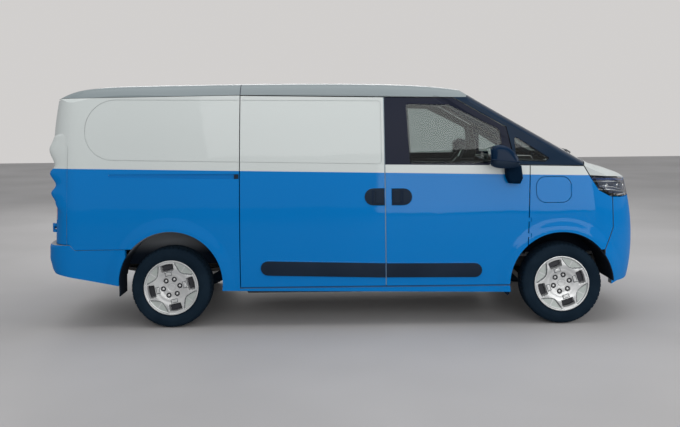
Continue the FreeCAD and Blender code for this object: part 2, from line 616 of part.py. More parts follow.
flap_fender = flap_fender.fuse(flap_rod(z0, z3, FLAP_PIN))
keep("fender_left", fender)
keep("fender_right", mirrored(joined([flap_fender, cup, socket])))
keep("charge_flap", mirrored(flap_solid))

keep("headlamps", pair(wall_piece(inset_prism(LAMP, LAMP_INNER_Y, FAR))))

bumper_cell = [(2173, 1022), (2248, 1015), (2600, 1005), (2600, 322), (2220, 322), (2138, 295), (2093, 300),
               (2093, 595), (2170, 772)]
nose_cell = [(2130, 1035), (2180, 1035), (2180, 1178), (2221, 1177), (2330, 1160), (2600, 1125), (2600, 1000),
             (2130, 1000)]
bumper = wall_piece(side_prism(bumper_cell, -FAR, FAR, 0, -half_gap))
nose = wall_piece(side_prism(nose_cell, -LAMP_INNER_Y + half_gap, LAMP_INNER_Y - half_gap, 0, -half_gap))
INTAKE = [(-520, 425), (520, 425), (470, 560), (-470, 560)]
INTAKE_FLOOR_X = 2440.0
bumper = bumper.fuse(nose).cut(front_arch).cut(back_prism(INTAKE, INTAKE_FLOOR_X, 2600, 30))
keep("front_bumper", bumper)

# Rear bumper, and the plan line that it shares with the load floor
def rear_plan(rear, wide, z0, z1):
    points = []
    for i in range(21):
        turn = math.pi * (i / 20 - 0.5)
        x = STRAIGHT_REAR_X - (STRAIGHT_REAR_X - rear) * math.cos(turn) ** (2 / REAR_POWER)
        y = math.copysign(wide * abs(math.sin(turn)) ** (2 / REAR_POWER), math.sin(turn))
        points.append(Vector(x, y, z0))
    curve = Part.BSplineCurve()
    curve.interpolate(points)
    close = [Part.makeLine(points[-1], Vector(-1700, wide, z0)),
             Part.makeLine(Vector(-1700, wide, z0), Vector(-1700, -wide, z0)),
             Part.makeLine(Vector(-1700, -wide, z0), points[0])]
    return Part.Face(Part.Wire([curve.toShape()] + close)).extrude(Vector(0, 0, z1 - z0))


rear_bumper_cell = [(-2600, 452), (-2400, 452), (-2300, 436), (-1863, 346), (-1800, 338), (-1800, 641),
                    (-2200, 641), (-2240, 684), (-2600, 684)]
BUMPER_LINE = [(300, -2400), (430, -2430), (480, -2462), (560, BUMPER_TAIL_X), (635, BUMPER_TAIL_X), (690, -2462)]
BUMPER_LEVELS = [300, 380, 430, 480, 520, 560, 600, 640, 690]
BUMPER_POWER = 5.0
bumper_body = Part.makeLoft([plan_wire(z, 0, BUMPER_LINE, BUMPER_POWER) for z in BUMPER_LEVELS], True, False)
bumper_hollow = rear_plan(BUMPER_TAIL_X + 70, 870, 200, 800)
rear_bumper = bumper_body.cut(bumper_hollow).cut(block(-1700, 3000, -FAR, FAR, 200, 800))
rear_bumper = rear_bumper.common(side_prism(rear_bumper_cell, -FAR, FAR)).cut(rear_arch)
keep("rear_bumper", rear_bumper)

# Floor, sills, wheel boxes and rails
FLOOR_Z = 560.0
CAB_FLOOR_Z = 500.0
SHEET = 20.0
FLOOR_SIDE = half_width(FLOOR_Z - SHEET) - WALL - 2 * SEAT_GAP
CAB_FLOOR_SIDE = half_width(CAB_FLOOR_Z - SHEET) - WALL - 6.0
SILL_SIDE = half_width(SILL_TOP_Z) - WALL - 6.0
RAIL_IN, RAIL_OUT = 420.0, 500.0
RAIL_LOW, RAIL_TOP = 400.0, CAB_FLOOR_Z - SHEET
REAR_BOX_Y = 650.0
CROSS_X = 2182.0
RAIL_TAIL_X = -2370.0
RAIL_SPLICE_X = CENTRE_GAP_X - SHEET - 1
CAB_FLOOR_END_X = 1330.0
FRONT_WALL = (1540.0, 1560.0)
FRONT_WALL_HALF = 495.0
COWL_BAR = (1208.0, 1240.0)


def wheel_box(x, z, y_in, y_out, radius, sheet, low, wall_low):
    box = rod(x, y_in, z, 0, y_out - y_in, 0, radius)
    hollow = rod(x, y_in + sheet, z, 0, y_out - y_in, 0, radius - sheet)
    box = box.cut(hollow).common(block(x - 600, x + 600, 0, 1000, low, 1200))
    if wall_low > low:
        box = box.cut(block(x - radius + sheet, x + radius - sheet, y_in - 1, y_in + sheet + 1, low - 1, wall_low))
    return box


load_floor = rear_plan(BUMPER_TAIL_X + 72, FLOOR_SIDE, FLOOR_Z - SHEET, FLOOR_Z).fuse(
    block(-1700, CENTRE_GAP_X - SHEET, -FLOOR_SIDE, FLOOR_SIDE, FLOOR_Z - SHEET, FLOOR_Z))
board = block(-2190, 200, -640, 640, FLOOR_Z, FLOOR_Z + 9)
cab_floor = block(CENTRE_GAP_X - SHEET, CAB_FLOOR_END_X, -CAB_FLOOR_SIDE, CAB_FLOOR_SIDE,
                  CAB_FLOOR_Z - SHEET, CAB_FLOOR_Z)
riser = block(CENTRE_GAP_X - SHEET, CENTRE_GAP_X, -CAB_FLOOR_SIDE, CAB_FLOOR_SIDE,
              CAB_FLOOR_Z - SHEET, FLOOR_Z)
floor_pan = joined([load_floor, board, cab_floor, riser])
for side in (1, -1):
    floor_pan = floor_pan.cut(rod(REAR_AXLE_X, side * REAR_BOX_Y, REAR_ARCH_Z, 0, side * 400, 0, ARCH_RADIUS))
keep("floor_pan", floor_pan)

# Rails and sills under the floor
sill_box = block(-990, 1290, 790, SILL_SIDE, 330, RAIL_TOP - SEAT_GAP).cut(
    block(-984, 1284, 796, SILL_SIDE - 6, 336, RAIL_TOP - 6)).cut(front_arch).cut(rear_arch)
sill_web = block(-940, RAIL_SPLICE_X, 790, 796, RAIL_TOP - 1, FLOOR_Z - SHEET - SEAT_GAP)
rear_rail = block(RAIL_TAIL_X, RAIL_SPLICE_X, RAIL_IN, RAIL_OUT, RAIL_LOW, FLOOR_Z - SHEET - SEAT_GAP)
front_rail = block(RAIL_SPLICE_X + SEAT_GAP, CROSS_X, RAIL_IN, RAIL_OUT, RAIL_LOW, RAIL_TOP - SEAT_GAP)
keep("chassis_rails", pair(joined([sill_box, sill_web])) + pair(rear_rail) + pair(front_rail))

# Housings of the wheels, the rear ones with their mud flaps
LINER = 8.0
HOUSING_RADIUS = ARCH_RADIUS - SEAT_GAP
rear_housing = wheel_box(REAR_AXLE_X, REAR_ARCH_Z, REAR_BOX_Y + SEAT_GAP, 900, HOUSING_RADIUS, LINER, 400, 480)
mud_flap = block(REAR_AXLE_X - 420, REAR_AXLE_X - 411, 690, 898, 261, 412)
front_housing = wheel_box(FRONT_AXLE_X, WHEEL_Z, RAIL_OUT + SEAT_GAP, 900, HOUSING_RADIUS, LINER, 345, 520)
front_housing = front_housing.cut(block(1200, 1492, 866, 1000, 0, 1000)).cut(
    block(1300, 1420, 700, 900, CAB_FLOOR_Z - SHEET - 1, CAB_FLOOR_Z + 1))
keep("wheel_housings", pair(joined([rear_housing, mud_flap])) + pair(front_housing))

# Cab inside
DASH_BACK_X = 1499.0
DASH = [(1260, 1060), (1300, 860), (1440, 800), (DASH_BACK_X, 800), (DASH_BACK_X, 1235), (1330, 1205), (1275, 1150)]
bulkhead = INNER.common(block(CENTRE_GAP_X - 70, CENTRE_GAP_X - 40, -FAR, FAR, FLOOR_Z, 2100))
ring_open = block(-2300, -2100, -745, 745, 500, 1830).fuse(block(-2300, -2100, 860, FAR, 500, 690)).fuse(
    block(-2300, -2100, -FAR, -860, 500, 690))
rear_ring = INNER.common(block(-2235, -2200, -FAR, FAR, FLOOR_Z, 2100)).cut(ring_open)
cowl_bar = INNER_THIN.common(block(FRONT_WALL[1] + SEAT_GAP, 1620, -FAR, FAR, COWL_BAR[0], COWL_BAR[1]))
post = block(1500, FRONT_WALL[1] + 1, 800, 830, 718, COWL_BAR[1])
post = post.fuse(block(DASH_BACK_X + SEAT_GAP, 1580, 770, 862, COWL_BAR[0], COWL_BAR[1]))
post = post.fuse(INNER_THIN.common(block(1502, 1540, 810, FAR, 718, 925)))
front_wall = block(FRONT_WALL[0], FRONT_WALL[1], -FRONT_WALL_HALF, FRONT_WALL_HALF,
                   CAB_FLOOR_Z - SHEET, COWL_BAR[1])
front_wall = front_wall.fuse(block(CAB_FLOOR_END_X + SEAT_GAP, FRONT_WALL[1], -FRONT_WALL_HALF, FRONT_WALL_HALF,
                                   CAB_FLOOR_Z - SHEET, CAB_FLOOR_Z))
nose_frame = INNER.common(block(CROSS_X, CROSS_X + 25, -FAR, FAR, RAIL_LOW, 1170)).cut(
    block(2100, 2300, -640, 640, 560, 1100))
inner_frame = [bulkhead, rear_ring, joined([cowl_bar, post, mirrored(post)]), front_wall, nose_frame]
keep("inner_frame", inner_frame)

DASH_HALF = 790.0
dashboard = side_prism(DASH, -DASH_HALF, DASH_HALF, 12)

# Seats, drawn from the side
SEAT_BASE_TOP = 716.0
CUSHION = [(470, 700), (1010, 715), (1030, 800), (1000, 845), (520, 815)]
BACKREST = [(430, 800), (545, 815), (455, 1395), (400, 1430), (345, 1400)]
HEADREST = [(345, 1465), (450, 1465), (440, 1640), (395, 1660), (355, 1640)]
HEADREST_HALF, HEADREST_POST_Y = 120.0, 60.0


def seat(y0, y1, rests):
    base = block(520, 960, y0 + 30, y1 - 30, CAB_FLOOR_Z, SEAT_BASE_TOP)
    pieces = [base, side_prism(CUSHION, y0, y1, 22), side_prism(BACKREST, y0, y1, 20)]
    for y in rests:
        pieces.append(side_prism(HEADREST, y - HEADREST_HALF, y + HEADREST_HALF, 20))
        for side in (-1, 1):
            pieces.append(rod(400, y + side * HEADREST_POST_Y, 1420, 0, 0, 60, 7))
    return joined(pieces)


keep("seats", [seat(160, 660, [410]), seat(-700, 60, [-120, -510])])

# Steering wheel and column
WHEEL_CENTRE = Vector(1050, 400, 1235)
COLUMN_TILT = math.radians(32)
column_dir = Vector(-math.cos(COLUMN_TILT), 0, math.sin(COLUMN_TILT))


def turned(shape):
    place = Placement(WHEEL_CENTRE, Rotation(Vector(0, 0, 1), column_dir))
    copy = shape.copy()
    copy.Placement = place.multiply(copy.Placement)
    return copy


WHEEL_RING, RING_THICK = 185.0, 15.0
SPOKE_WIDE, SPOKE_THICK = 40.0, 14.0
HUB_RADIUS, HUB_LOW = 58.0, 50.0
COLUMN_RADIUS, COLUMN_LOW = 32.0, 310.0
ring = Part.makeTorus(WHEEL_RING, RING_THICK)
hub = Part.makeCylinder(HUB_RADIUS, HUB_LOW - 4, Vector(0, 0, -HUB_LOW))
cross_spoke = Part.makeBox(SPOKE_WIDE, 2 * WHEEL_RING, SPOKE_THICK,
                           Vector(-SPOKE_WIDE / 2, -WHEEL_RING, -SPOKE_THICK))
low_spoke = Part.makeBox(WHEEL_RING, SPOKE_WIDE, SPOKE_THICK, Vector(0, -SPOKE_WIDE / 2, -SPOKE_THICK))
steering_wheel = joined([ring, hub, cross_spoke, low_spoke])
keep("steering_wheel", turned(steering_wheel))
column = turned(Part.makeCylinder(COLUMN_RADIUS, COLUMN_LOW - HUB_LOW - PIN_GAP, Vector(0, 0, -COLUMN_LOW)))
keep("dashboard", dashboard.fuse(column))

# Heavy blocks below
BATTERY_X, BATTERY_HALF, BATTERY_LOW, BATTERY_EDGE = (-850.0, 1150.0), 620.0, 215.0, 12.0
keep("battery_pack", block(BATTERY_X[0], BATTERY_X[1], -BATTERY_HALF, BATTERY_HALF, BATTERY_LOW, RAIL_LOW - SEAT_GAP,
                           BATTERY_EDGE))
SHAFT_HALF, SHAFT_RADIUS = 640.0, 15.0
JOINT_HALF, JOINT_RADIUS = 412.0, 60.0
motor = block(1590, 1930, -260, 260, 300, 640, 30)
electronics = block(1600, 2000, -300, 300, 660, 900, 20)
neck = block(1650, 1900, -200, 200, 600, 700)
mount_bar = block(1700, 1790, -RAIL_IN + SEAT_GAP, RAIL_IN - SEAT_GAP, 420, 465)
inner_joints = rod(FRONT_AXLE_X, -JOINT_HALF, WHEEL_Z, 0, 2 * JOINT_HALF, 0, JOINT_RADIUS)
drive_shafts = rod(FRONT_AXLE_X, -SHAFT_HALF, WHEEL_Z, 0, 2 * SHAFT_HALF, 0, SHAFT_RADIUS)
keep("drive_unit", joined([motor, inner_joints, drive_shafts, electronics, neck, mount_bar]))

# Front suspension and steered knuckles
KINGPIN_Y = 720.0
ARM_LOW_Z = 205.0
ARM_TOP_Z = 450.0
ARM = 20.0
EYE = 26.0
PIN = 10.0


def arm(z, root):
    share = (root - 440) / 280.0
    near, far = 84 * share, 60 * share
    body = plan_prism([(1600 + near, root), (1640 + near, root), (1736, 655), (1832 - near, root), (1872 - near, root),
                       (1762, 720), (1710, 720)], z - ARM / 2, z + ARM / 2)
    eye = rod(FRONT_AXLE_X, KINGPIN_Y, z - ARM / 2, 0, 0, ARM, EYE)
    return body.fuse(eye).cut(rod(FRONT_AXLE_X, KINGPIN_Y, z - 50, 0, 0, 100, PIN + PIN_GAP))


cross = block(1590, 1882, -440, 440, ARM_LOW_Z - 25, ARM_LOW_Z + 25)
hanger = block(1600, 1872, 425, 440, ARM_LOW_Z, RAIL_LOW - SEAT_GAP).cut(rod(1736, 300, WHEEL_Z, 0, 300, 0, 30))
front_frame = joined([cross] + pair(arm(ARM_LOW_Z, 430.0)) + pair(hanger))
keep("front_subframe", [front_frame] + pair(arm(ARM_TOP_Z, RAIL_OUT + SEAT_GAP)))

upright_low = ARM_LOW_Z + ARM / 2 + 1.5
upright_top = ARM_TOP_Z - ARM / 2 - 1.5
knuckle = joined([
    rod(FRONT_AXLE_X, KINGPIN_Y, upright_low, 0, 0, upright_top - upright_low, 24),
    rod(FRONT_AXLE_X, KINGPIN_Y, ARM_LOW_Z - 6, 0, 0, ARM_TOP_Z - ARM_LOW_Z + 12, PIN),
    rod(FRONT_AXLE_X, KINGPIN_Y - 20, WHEEL_Z, 0, 70, 0, 52),
    rod(FRONT_AXLE_X, 770, WHEEL_Z, 0, 14, 0, 140),
    rod(FRONT_AXLE_X, 760, WHEEL_Z, 0, 90, 0, 29)])
keep("knuckle_left", knuckle)
keep("knuckle_right", mirrored(knuckle))

# Rear axle on leaf springs
beam = rod(REAR_AXLE_X, -760, WHEEL_Z, 0, 1520, 0, 38)
spindle = rod(REAR_AXLE_X, 700, WHEEL_Z, 0, 150, 0, 29)
drum = rod(REAR_AXLE_X, 735, WHEEL_Z, 0, 49, 0, 140)
SPRING_Y0, SPRING_Y1 = 512.0, 572.0
SPRING_REAR_X, SPRING_FRONT_X = -2040.0, -830.0
SPRING_END_Z, SPRING_MID_Z, SPRING_THICK = 452.0, 375.0, 28.0
HANGER_LOW, HANGER_LONG = 440.0, 35.0


def spring_line(lift):
    rear = Vector(SPRING_REAR_X, SPRING_Y0, SPRING_END_Z + lift)
    front = Vector(SPRING_FRONT_X, SPRING_Y0, SPRING_END_Z + lift)
    return rear, front, Part.Arc(rear, Vector(REAR_AXLE_X, SPRING_Y0, SPRING_MID_Z + lift), front).toShape()


low_rear, low_front, low_line = spring_line(0)
top_rear, top_front, top_line = spring_line(SPRING_THICK)
spring_wire = Part.Wire([low_line, Part.makeLine(low_front, top_front), top_line, Part.makeLine(top_rear, low_rear)])
spring = Part.Face(spring_wire).extrude(Vector(0, SPRING_Y1 - SPRING_Y0, 0))
hangers = [block(x, x + HANGER_LONG, RAIL_OUT, SPRING_Y1, HANGER_LOW, FLOOR_Z - SHEET)
           for x in (SPRING_REAR_X - 10, SPRING_FRONT_X - 25)]
saddle = block(REAR_AXLE_X - 60, REAR_AXLE_X + 60, SPRING_Y0, SPRING_Y1, WHEEL_Z - 30, 385)
side_parts = [spindle, drum, spring, saddle] + hangers
rear_axle = joined([beam] + side_parts + [mirrored(s) for s in side_parts])
keep("rear_axle", rear_axle)

# Wheels: one rim and one tyre, placed four times
def ring_solid(profile, centre_y, x):
    points = [Vector(x, centre_y + out, WHEEL_Z + radius) for radius, out in profile]
    face = Part.Face(Part.makePolygon(points + points[:1]))
    return face.revolve(Vector(x, centre_y, WHEEL_Z), Vector(0, 1, 0), 360)


RIM_PROFILE = [(29.4, 20), (29.4, 62), (60, 66), (120, 74), (205, 88), (RIM_RADIUS, 96), (RIM_RADIUS, 88), (210, 84),
               (203, 78), (200, 40), (192, 20), (192, -40), (203, -60), (203, -84), (RIM_RADIUS, -90),
               (RIM_RADIUS, -96), (196, -96), (190, -60), (183, -40), (183, 20), (190, 45), (150, 52), (80, 44), (60, 20)]
TYRE_PROFILE = [(204, 76), (222, 84), (240, 92), (270, 99), (300, 97), (318, 84), (TYRE_RADIUS, 66),
                (TYRE_RADIUS, -66), (318, -84), (300, -97), (270, -99), (240, -92), (222, -84), (204, -76),
                (204, -62), (222, -70), (245, -78), (270, -84), (298, -82), (308, -70), (313, -60), (313, 60),
                (308, 70), (298, 82), (270, 84), (245, 78), (222, 70), (204, 62)]


def wheel(x, turn):
    rim = ring_solid(RIM_PROFILE, WHEEL_Y, x)
    for k in range(4):
        window = block(x + 152, x + 192, WHEEL_Y + 30, WHEEL_Y + 120, WHEEL_Z - 42, WHEEL_Z + 42)
        window.rotate(Vector(x, 0, WHEEL_Z), Vector(0, 1, 0), turn + 90 * k)
        rim = rim.cut(window)
    tyre = ring_solid(TYRE_PROFILE, WHEEL_Y, x)
    return rim, tyre


for where, x, turn in (("front", FRONT_AXLE_X, -16.0), ("rear", REAR_AXLE_X, -10.0)):
    rim, tyre = wheel(x, turn)
    keep("rim_" + where + "_left", rim)
    keep("rim_" + where + "_right", mirrored(rim))
    keep("tyre_" + where + "_left", tyre)
    keep("tyre_" + where + "_right", mirrored(tyre))
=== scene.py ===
# %% [markdown]
# # A two-tone panel van
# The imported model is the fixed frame: every panel, glass, wheel and seat base is already there at its real
# size and place. This file gives each of them its finish and adds the pieces that make a van look real,
# such as wheel covers, tyre treads, mirrors, lamps, wipers, seats and seals.

# %% Load the frame
import bpy
import math
from mathutils import Matrix, Vector


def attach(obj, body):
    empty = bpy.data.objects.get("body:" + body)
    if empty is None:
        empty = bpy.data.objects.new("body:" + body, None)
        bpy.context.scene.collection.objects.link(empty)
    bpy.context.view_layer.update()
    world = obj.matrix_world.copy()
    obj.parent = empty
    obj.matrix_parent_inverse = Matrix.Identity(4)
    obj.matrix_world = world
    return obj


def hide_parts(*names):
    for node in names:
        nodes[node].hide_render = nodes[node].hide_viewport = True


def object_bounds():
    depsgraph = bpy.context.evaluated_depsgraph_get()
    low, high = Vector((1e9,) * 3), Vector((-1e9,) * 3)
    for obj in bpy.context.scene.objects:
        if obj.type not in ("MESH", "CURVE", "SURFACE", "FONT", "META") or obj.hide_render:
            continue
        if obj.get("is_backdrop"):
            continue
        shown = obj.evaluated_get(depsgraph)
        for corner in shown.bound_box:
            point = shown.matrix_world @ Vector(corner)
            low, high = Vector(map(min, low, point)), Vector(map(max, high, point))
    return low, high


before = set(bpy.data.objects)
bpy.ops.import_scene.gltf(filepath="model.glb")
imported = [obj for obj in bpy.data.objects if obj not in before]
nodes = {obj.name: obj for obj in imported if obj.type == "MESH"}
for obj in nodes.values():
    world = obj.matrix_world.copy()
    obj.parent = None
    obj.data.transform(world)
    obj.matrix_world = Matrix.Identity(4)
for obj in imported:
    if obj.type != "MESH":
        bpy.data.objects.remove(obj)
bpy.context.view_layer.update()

# %% [markdown]
# ## Helpers for modelling
# Each piece starts as a primitive or a flat outline, is shaped in edit mode with faces picked by their
# place, and is finished with modifiers. A few short helpers keep that readable: one empties the selection
# before a new piece starts, one picks faces by a test on their middle, and one puts a modifier on and
# applies it.

# %% Modelling helpers
SEGMENTS, MERGE_WITHIN = 96, 0.00002


def moved(x, y, z):
    return Matrix.Translation((x, y, z))


def turned(degrees, axis):
    return Matrix.Rotation(math.radians(degrees), 4, axis)


def deselect():
    if bpy.context.object and bpy.context.object.mode == "EDIT":
        bpy.ops.object.mode_set(mode="OBJECT")
    bpy.ops.object.select_all(action="DESELECT")


def activate(piece):
    deselect()
    piece.select_set(True)
    bpy.context.view_layer.objects.active = piece


def named(name):
    """The object that an operator has just made gets its name."""
    piece = bpy.context.object
    piece.name = name
    piece.data.name = name
    return piece


def link(name, data):
    """A new object for data made in code, selected alone."""
    piece = bpy.data.objects.new(name, data)
    bpy.context.scene.collection.objects.link(piece)
    activate(piece)
    return piece


def pick_faces(piece, test):
    """In edit mode, selects the faces whose middle passes the test."""
    bpy.ops.object.mode_set(mode="OBJECT")
    mesh = piece.data
    for group in (mesh.vertices, mesh.edges, mesh.polygons):
        group.foreach_set("select", [False] * len(group))
    for face in mesh.polygons:
        face.select = test(face.center)
    bpy.ops.object.mode_set(mode="EDIT")
    bpy.ops.mesh.select_mode(type="FACE")


def modify(piece, kind, **settings):
    """Puts a modifier on a piece and applies it."""
    modifier = piece.modifiers.new(kind.title(), kind)
    for key, value in settings.items():
        setattr(modifier, key, value)
    activate(piece)
    bpy.ops.object.modifier_apply(modifier=modifier.name)
    return piece


def clean_up(merge_within=MERGE_WITHIN):
    """In edit mode, closes seams and poles and turns all faces of the active piece outwards."""
    bpy.ops.object.mode_set(mode="EDIT")
    bpy.ops.mesh.select_all(action="SELECT")
    bpy.ops.mesh.remove_doubles(threshold=merge_within)
    bpy.ops.mesh.normals_make_consistent(inside=False)
    bpy.ops.object.mode_set(mode="OBJECT")


def settle(piece):
    """Puts the object at the origin, with its place in its mesh."""
    activate(piece)
    bpy.ops.object.transform_apply(location=True, rotation=True, scale=True)
    clean_up()
    return piece


def smooth(piece, degrees):
    activate(piece)
    bpy.ops.object.shade_smooth_by_angle(angle=math.radians(degrees))
    return piece


def join(pieces, name):
    deselect()
    for piece in pieces:
        piece.select_set(True)
    bpy.context.view_layer.objects.active = pieces[0]
    bpy.ops.object.join()
    return named(name)


def gather(pieces, name, degrees):
    """Joins pieces into one that is settled and shaded smooth up to an angle."""
    return smooth(settle(join(pieces, name)), degrees)


def twin(piece, name, turn=None, flip_y=False):
    """A copy with its own mesh, turned about an axis or mirrored to the other side of the van."""
    copy = piece.copy()
    copy.data = piece.data.copy()
    bpy.context.scene.collection.objects.link(copy)
    copy.name = name
    copy.data.name = name
    if turn is not None:
        copy.data.transform(turn)
    if flip_y:
        copy.data.transform(Matrix.Scale(-1, 4, (0, 1, 0)))
        copy.data.flip_normals()
    return copy


def plate(name, points, depth, bevel, place, finish=None, smoothness=None, steps=3):
    """A flat closed outline, rounded where asked, given thickness and bevelled edges, then put in place."""
    curve = bpy.data.curves.new(name, "CURVE")
    curve.dimensions = "2D"
    curve.fill_mode = "BOTH"
    curve.extrude = max(0.0, depth / 2 - bevel)
    curve.bevel_depth = bevel
    curve.offset = -bevel
    curve.bevel_resolution = steps
    spline = curve.splines.new("NURBS" if smoothness else "POLY")
    spline.points.add(len(points) - 1)
    for point, (x, y) in zip(spline.points, points):
        point.co = (x, y, 0, 1)
    if smoothness:
        spline.order_u = smoothness
        spline.resolution_u = 6
    spline.use_cyclic_u = True
    link(name, curve)
    bpy.ops.object.convert(target="MESH")
    piece = named(name)
    piece.data.transform(place)
    if finish:
        piece.data.materials.append(finish)
    return piece


def rounded_box(x0, x1, y0, y1, radius, steps=6):
    """Corner-rounded rectangle as outline points."""
    points = []
    for cx, cy, start in ((x1 - radius, y1 - radius, 0), (x0 + radius, y1 - radius, 90),
                          (x0 + radius, y0 + radius, 180), (x1 - radius, y0 + radius, 270)):
        for i in range(steps + 1):
            turn = math.radians(start + 90 * i / steps)
            points.append((cx + radius * math.cos(turn), cy + radius * math.sin(turn)))
    return points


def spun(name, profile, centre, axis, steps=SEGMENTS, finish=None):
    """A closed or open profile of (out along the axis, radius) is spun a full turn about the axis."""
    deselect()
    bpy.ops.mesh.primitive_plane_add(size=0.001, location=(0, 0, 0))
    piece = named(name)
    bpy.ops.object.mode_set(mode="EDIT")
    bpy.ops.mesh.select_all(action="SELECT")
    bpy.ops.mesh.delete(type="VERT")
    bpy.ops.object.mode_set(mode="OBJECT")
    side = Vector((0, 0, 1)) if abs(axis[2]) < 0.5 else Vector((1, 0, 0))
    points = [Vector(centre) + Vector(axis) * out + side * radius for out, radius in profile]
    piece.data.vertices.add(len(points))
    for vertex, point in zip(piece.data.vertices, points):
        vertex.co = point
    piece.data.edges.add(len(points) - 1)
    for i, edge in enumerate(piece.data.edges):
        edge.vertices = (i, i + 1)
    piece.data.update()
    bpy.ops.object.mode_set(mode="EDIT")
    bpy.ops.mesh.select_all(action="SELECT")
    bpy.ops.mesh.spin(steps=steps, angle=2 * math.pi, center=centre, axis=axis)
    clean_up()
    if finish:
        piece.data.materials.append(finish)
    return piece


def bar_along(name, points, thick, finish, tip=0.6):
    """A round bar through the points, tapering to the share tip of its thickness."""
    curve = bpy.data.curves.new(name, "CURVE")
    curve.dimensions = "3D"
    curve.bevel_depth = thick
    curve.bevel_resolution = 3
    curve.use_fill_caps = True
    spline = curve.splines.new("NURBS")
    spline.points.add(len(points) - 1)
    for i, (point, place) in enumerate(zip(spline.points, points)):
        point.co = (*place, 1)
        point.radius = 1.0 - (1.0 - tip) * i / (len(points) - 1)
    spline.order_u = 3
    spline.use_endpoint_u = True
    link(name, curve)
    bpy.ops.object.convert(target="MESH")
    bar = named(name)
    bar.data.materials.append(finish)
    return bar


print("helpers ready")

# %% [markdown]
# ## Finishes
# A finish is a small tree of nodes on Object coordinates, which here are metres in the van's own frame, so
# a pattern keeps its real scale on every piece. One helper makes the shader, others add nodes and link
# them, and one adds fine grain as bump. Constants are set on the shader itself.

# %% Material helpers
RAMP_ENDS = (0.35, 0.65)


def new_finish(name, **settings):
    """A material with its shader's constants set, its node tree and the van's own coordinates."""
    material = bpy.data.materials.new(name)
    material.use_nodes = True
    tree = material.node_tree
    shader = tree.nodes["Principled BSDF"]
    for key, value in settings.items():
        shader.inputs[key.replace("_", " ")].default_value = value
    return material, tree, shader, add(tree, "ShaderNodeTexCoord").outputs["Object"]


def add(tree, kind, links=None, **settings):
    """Adds a node, sets its values and links its inputs from the sockets given."""
    node = tree.nodes.new(kind)
    for key, value in settings.items():
        if hasattr(node, key):
            setattr(node, key, value)
        else:
            node.inputs[key].default_value = value
    for socket, source in (links or {}).items():
        tree.links.new(source, node.inputs[socket])
    return node


def work_out(tree, kind, operation, *values):
    """A Math or VectorMath node, each input a constant or the socket of another node."""
    node = add(tree, "ShaderNode" + kind, operation=operation)
    for socket, value in zip(node.inputs, values):
        if isinstance(value, bpy.types.NodeSocket):
            tree.links.new(value, socket)
        else:
            socket.default_value = value
    return node.outputs


def eased(tree, value, start, end, first, last):
    """Goes softly from first to last while the value goes from start to end."""
    node = add(tree, "ShaderNodeMapRange", {"Value": value}, interpolation_type="SMOOTHSTEP")
    for socket, number in (("From Min", start), ("From Max", end), ("To Min", first), ("To Max", last)):
        node.inputs[socket].default_value = number
    return node.outputs["Result"]


def mixed(tree, share, low, high):
    mix = add(tree, "ShaderNodeMix", data_type="RGBA")
    tree.links.new(share, mix.inputs["Factor"])
    for index, value in ((6, low), (7, high)):
        if isinstance(value, tuple):
            mix.inputs[index].default_value = (*value, 1)
        else:
            tree.links.new(value, mix.inputs[index])
    return mix.outputs[2]


def shades(colour, low, high=1.0):
    """Two shades of a colour, as shares of it."""
    return tuple(low * c for c in colour), tuple(high * c for c in colour)


def noise(tree, place, scale, detail):
    return add(tree, "ShaderNodeTexNoise", {"Vector": place}, Scale=scale, Detail=detail).outputs["Fac"]


def bumped(tree, height, strength, distance, normal=None):
    links = {"Height": height}
    if normal:
        links["Normal"] = normal
    return add(tree, "ShaderNodeBump", links, Strength=strength, Distance=distance).outputs["Normal"]


def grain(tree, shader, place, scale, strength, distance, detail=4.0):
    normal = bumped(tree, noise(tree, place, scale, detail), strength, distance)
    tree.links.new(normal, shader.inputs["Normal"])


def varied(tree, shader, place, scale, dark, light):
    """Slow change of colour over the surface, as real finishes have."""
    ramp = add(tree, "ShaderNodeValToRGB", {"Fac": noise(tree, place, scale, 3.0)})
    for element, position, colour in zip(ramp.color_ramp.elements, RAMP_ENDS, (dark, light)):
        element.position = position
        element.color = (*colour, 1)
    tree.links.new(ramp.outputs["Color"], shader.inputs["Base Color"])
    return ramp.outputs["Color"]


print("material helpers ready")

# %% [markdown]
# ## Two-tone paint
# The real van is sprayed white above a straight belt line and blue below it. The line falls a little to the
# front, so the split is worked out from the height and the length: above the line is white, below is blue.
# The roof is a shade greyer, with a thin joint line over its side rails. A clear coat gives the gloss, and
# fine, slow and arch-shaped bumps bend the reflections as pressed steel does. Faces that look into the van
# wear its lining instead.

# %% Two-tone paint
BLUE = (0.0, 0.158, 0.462)
WHITE = (0.54, 0.575, 0.562)
# painted shade: the bonnet wears the body's white darkened to this share, for the duller light and darker
# reflections on it
BONNET_PAINTED_SHADE = 0.86
ROOF_GREY = (0.20, 0.235, 0.245)
ROOF_LINING = (0.34, 0.345, 0.34)
NIGHT = (0.006, 0.009, 0.022)
CAB_LINING = (0.035, 0.036, 0.040)
LOAD_LINING = (0.30, 0.31, 0.32)
BELT_Z, BELT_X, BELT_FALL = 1.241, 0.310, 0.0231
GLASSHOUSE_Z, GLASSHOUSE_X, GLASSHOUSE_FALL = 1.306, 0.352, 0.0168
SLIDE_REAR_X, SEAM_HALF, RAIL_INNER_Y = -0.868, 0.0032, 0.62
FLARE_INNER, FLARE_OUTER, FLARE_DEPTH = 0.435, 0.540, 0.012
FRONT_AXLE, REAR_AXLE, AXLE_HEIGHT, REAR_ARCH_Z = 1.736, -1.434, 0.326, 0.362
INWARD_WEIGHTS, INWARD_LIMIT = (0.15, 1.0, 1.0), -0.3
PEEL_SCALE = 420.0


def above_line(tree, place, x, z, fall):
    """1 above a line that falls to the front, 0 below it."""
    parts = add(tree, "ShaderNodeSeparateXYZ", {"Vector": place}).outputs
    slope = work_out(tree, "Math", "MULTIPLY_ADD", parts["X"], fall, -z - fall * x)[0]
    height = work_out(tree, "Math", "ADD", parts["Z"], slope)[0]
    return work_out(tree, "Math", "GREATER_THAN", height, 0.0)[0]


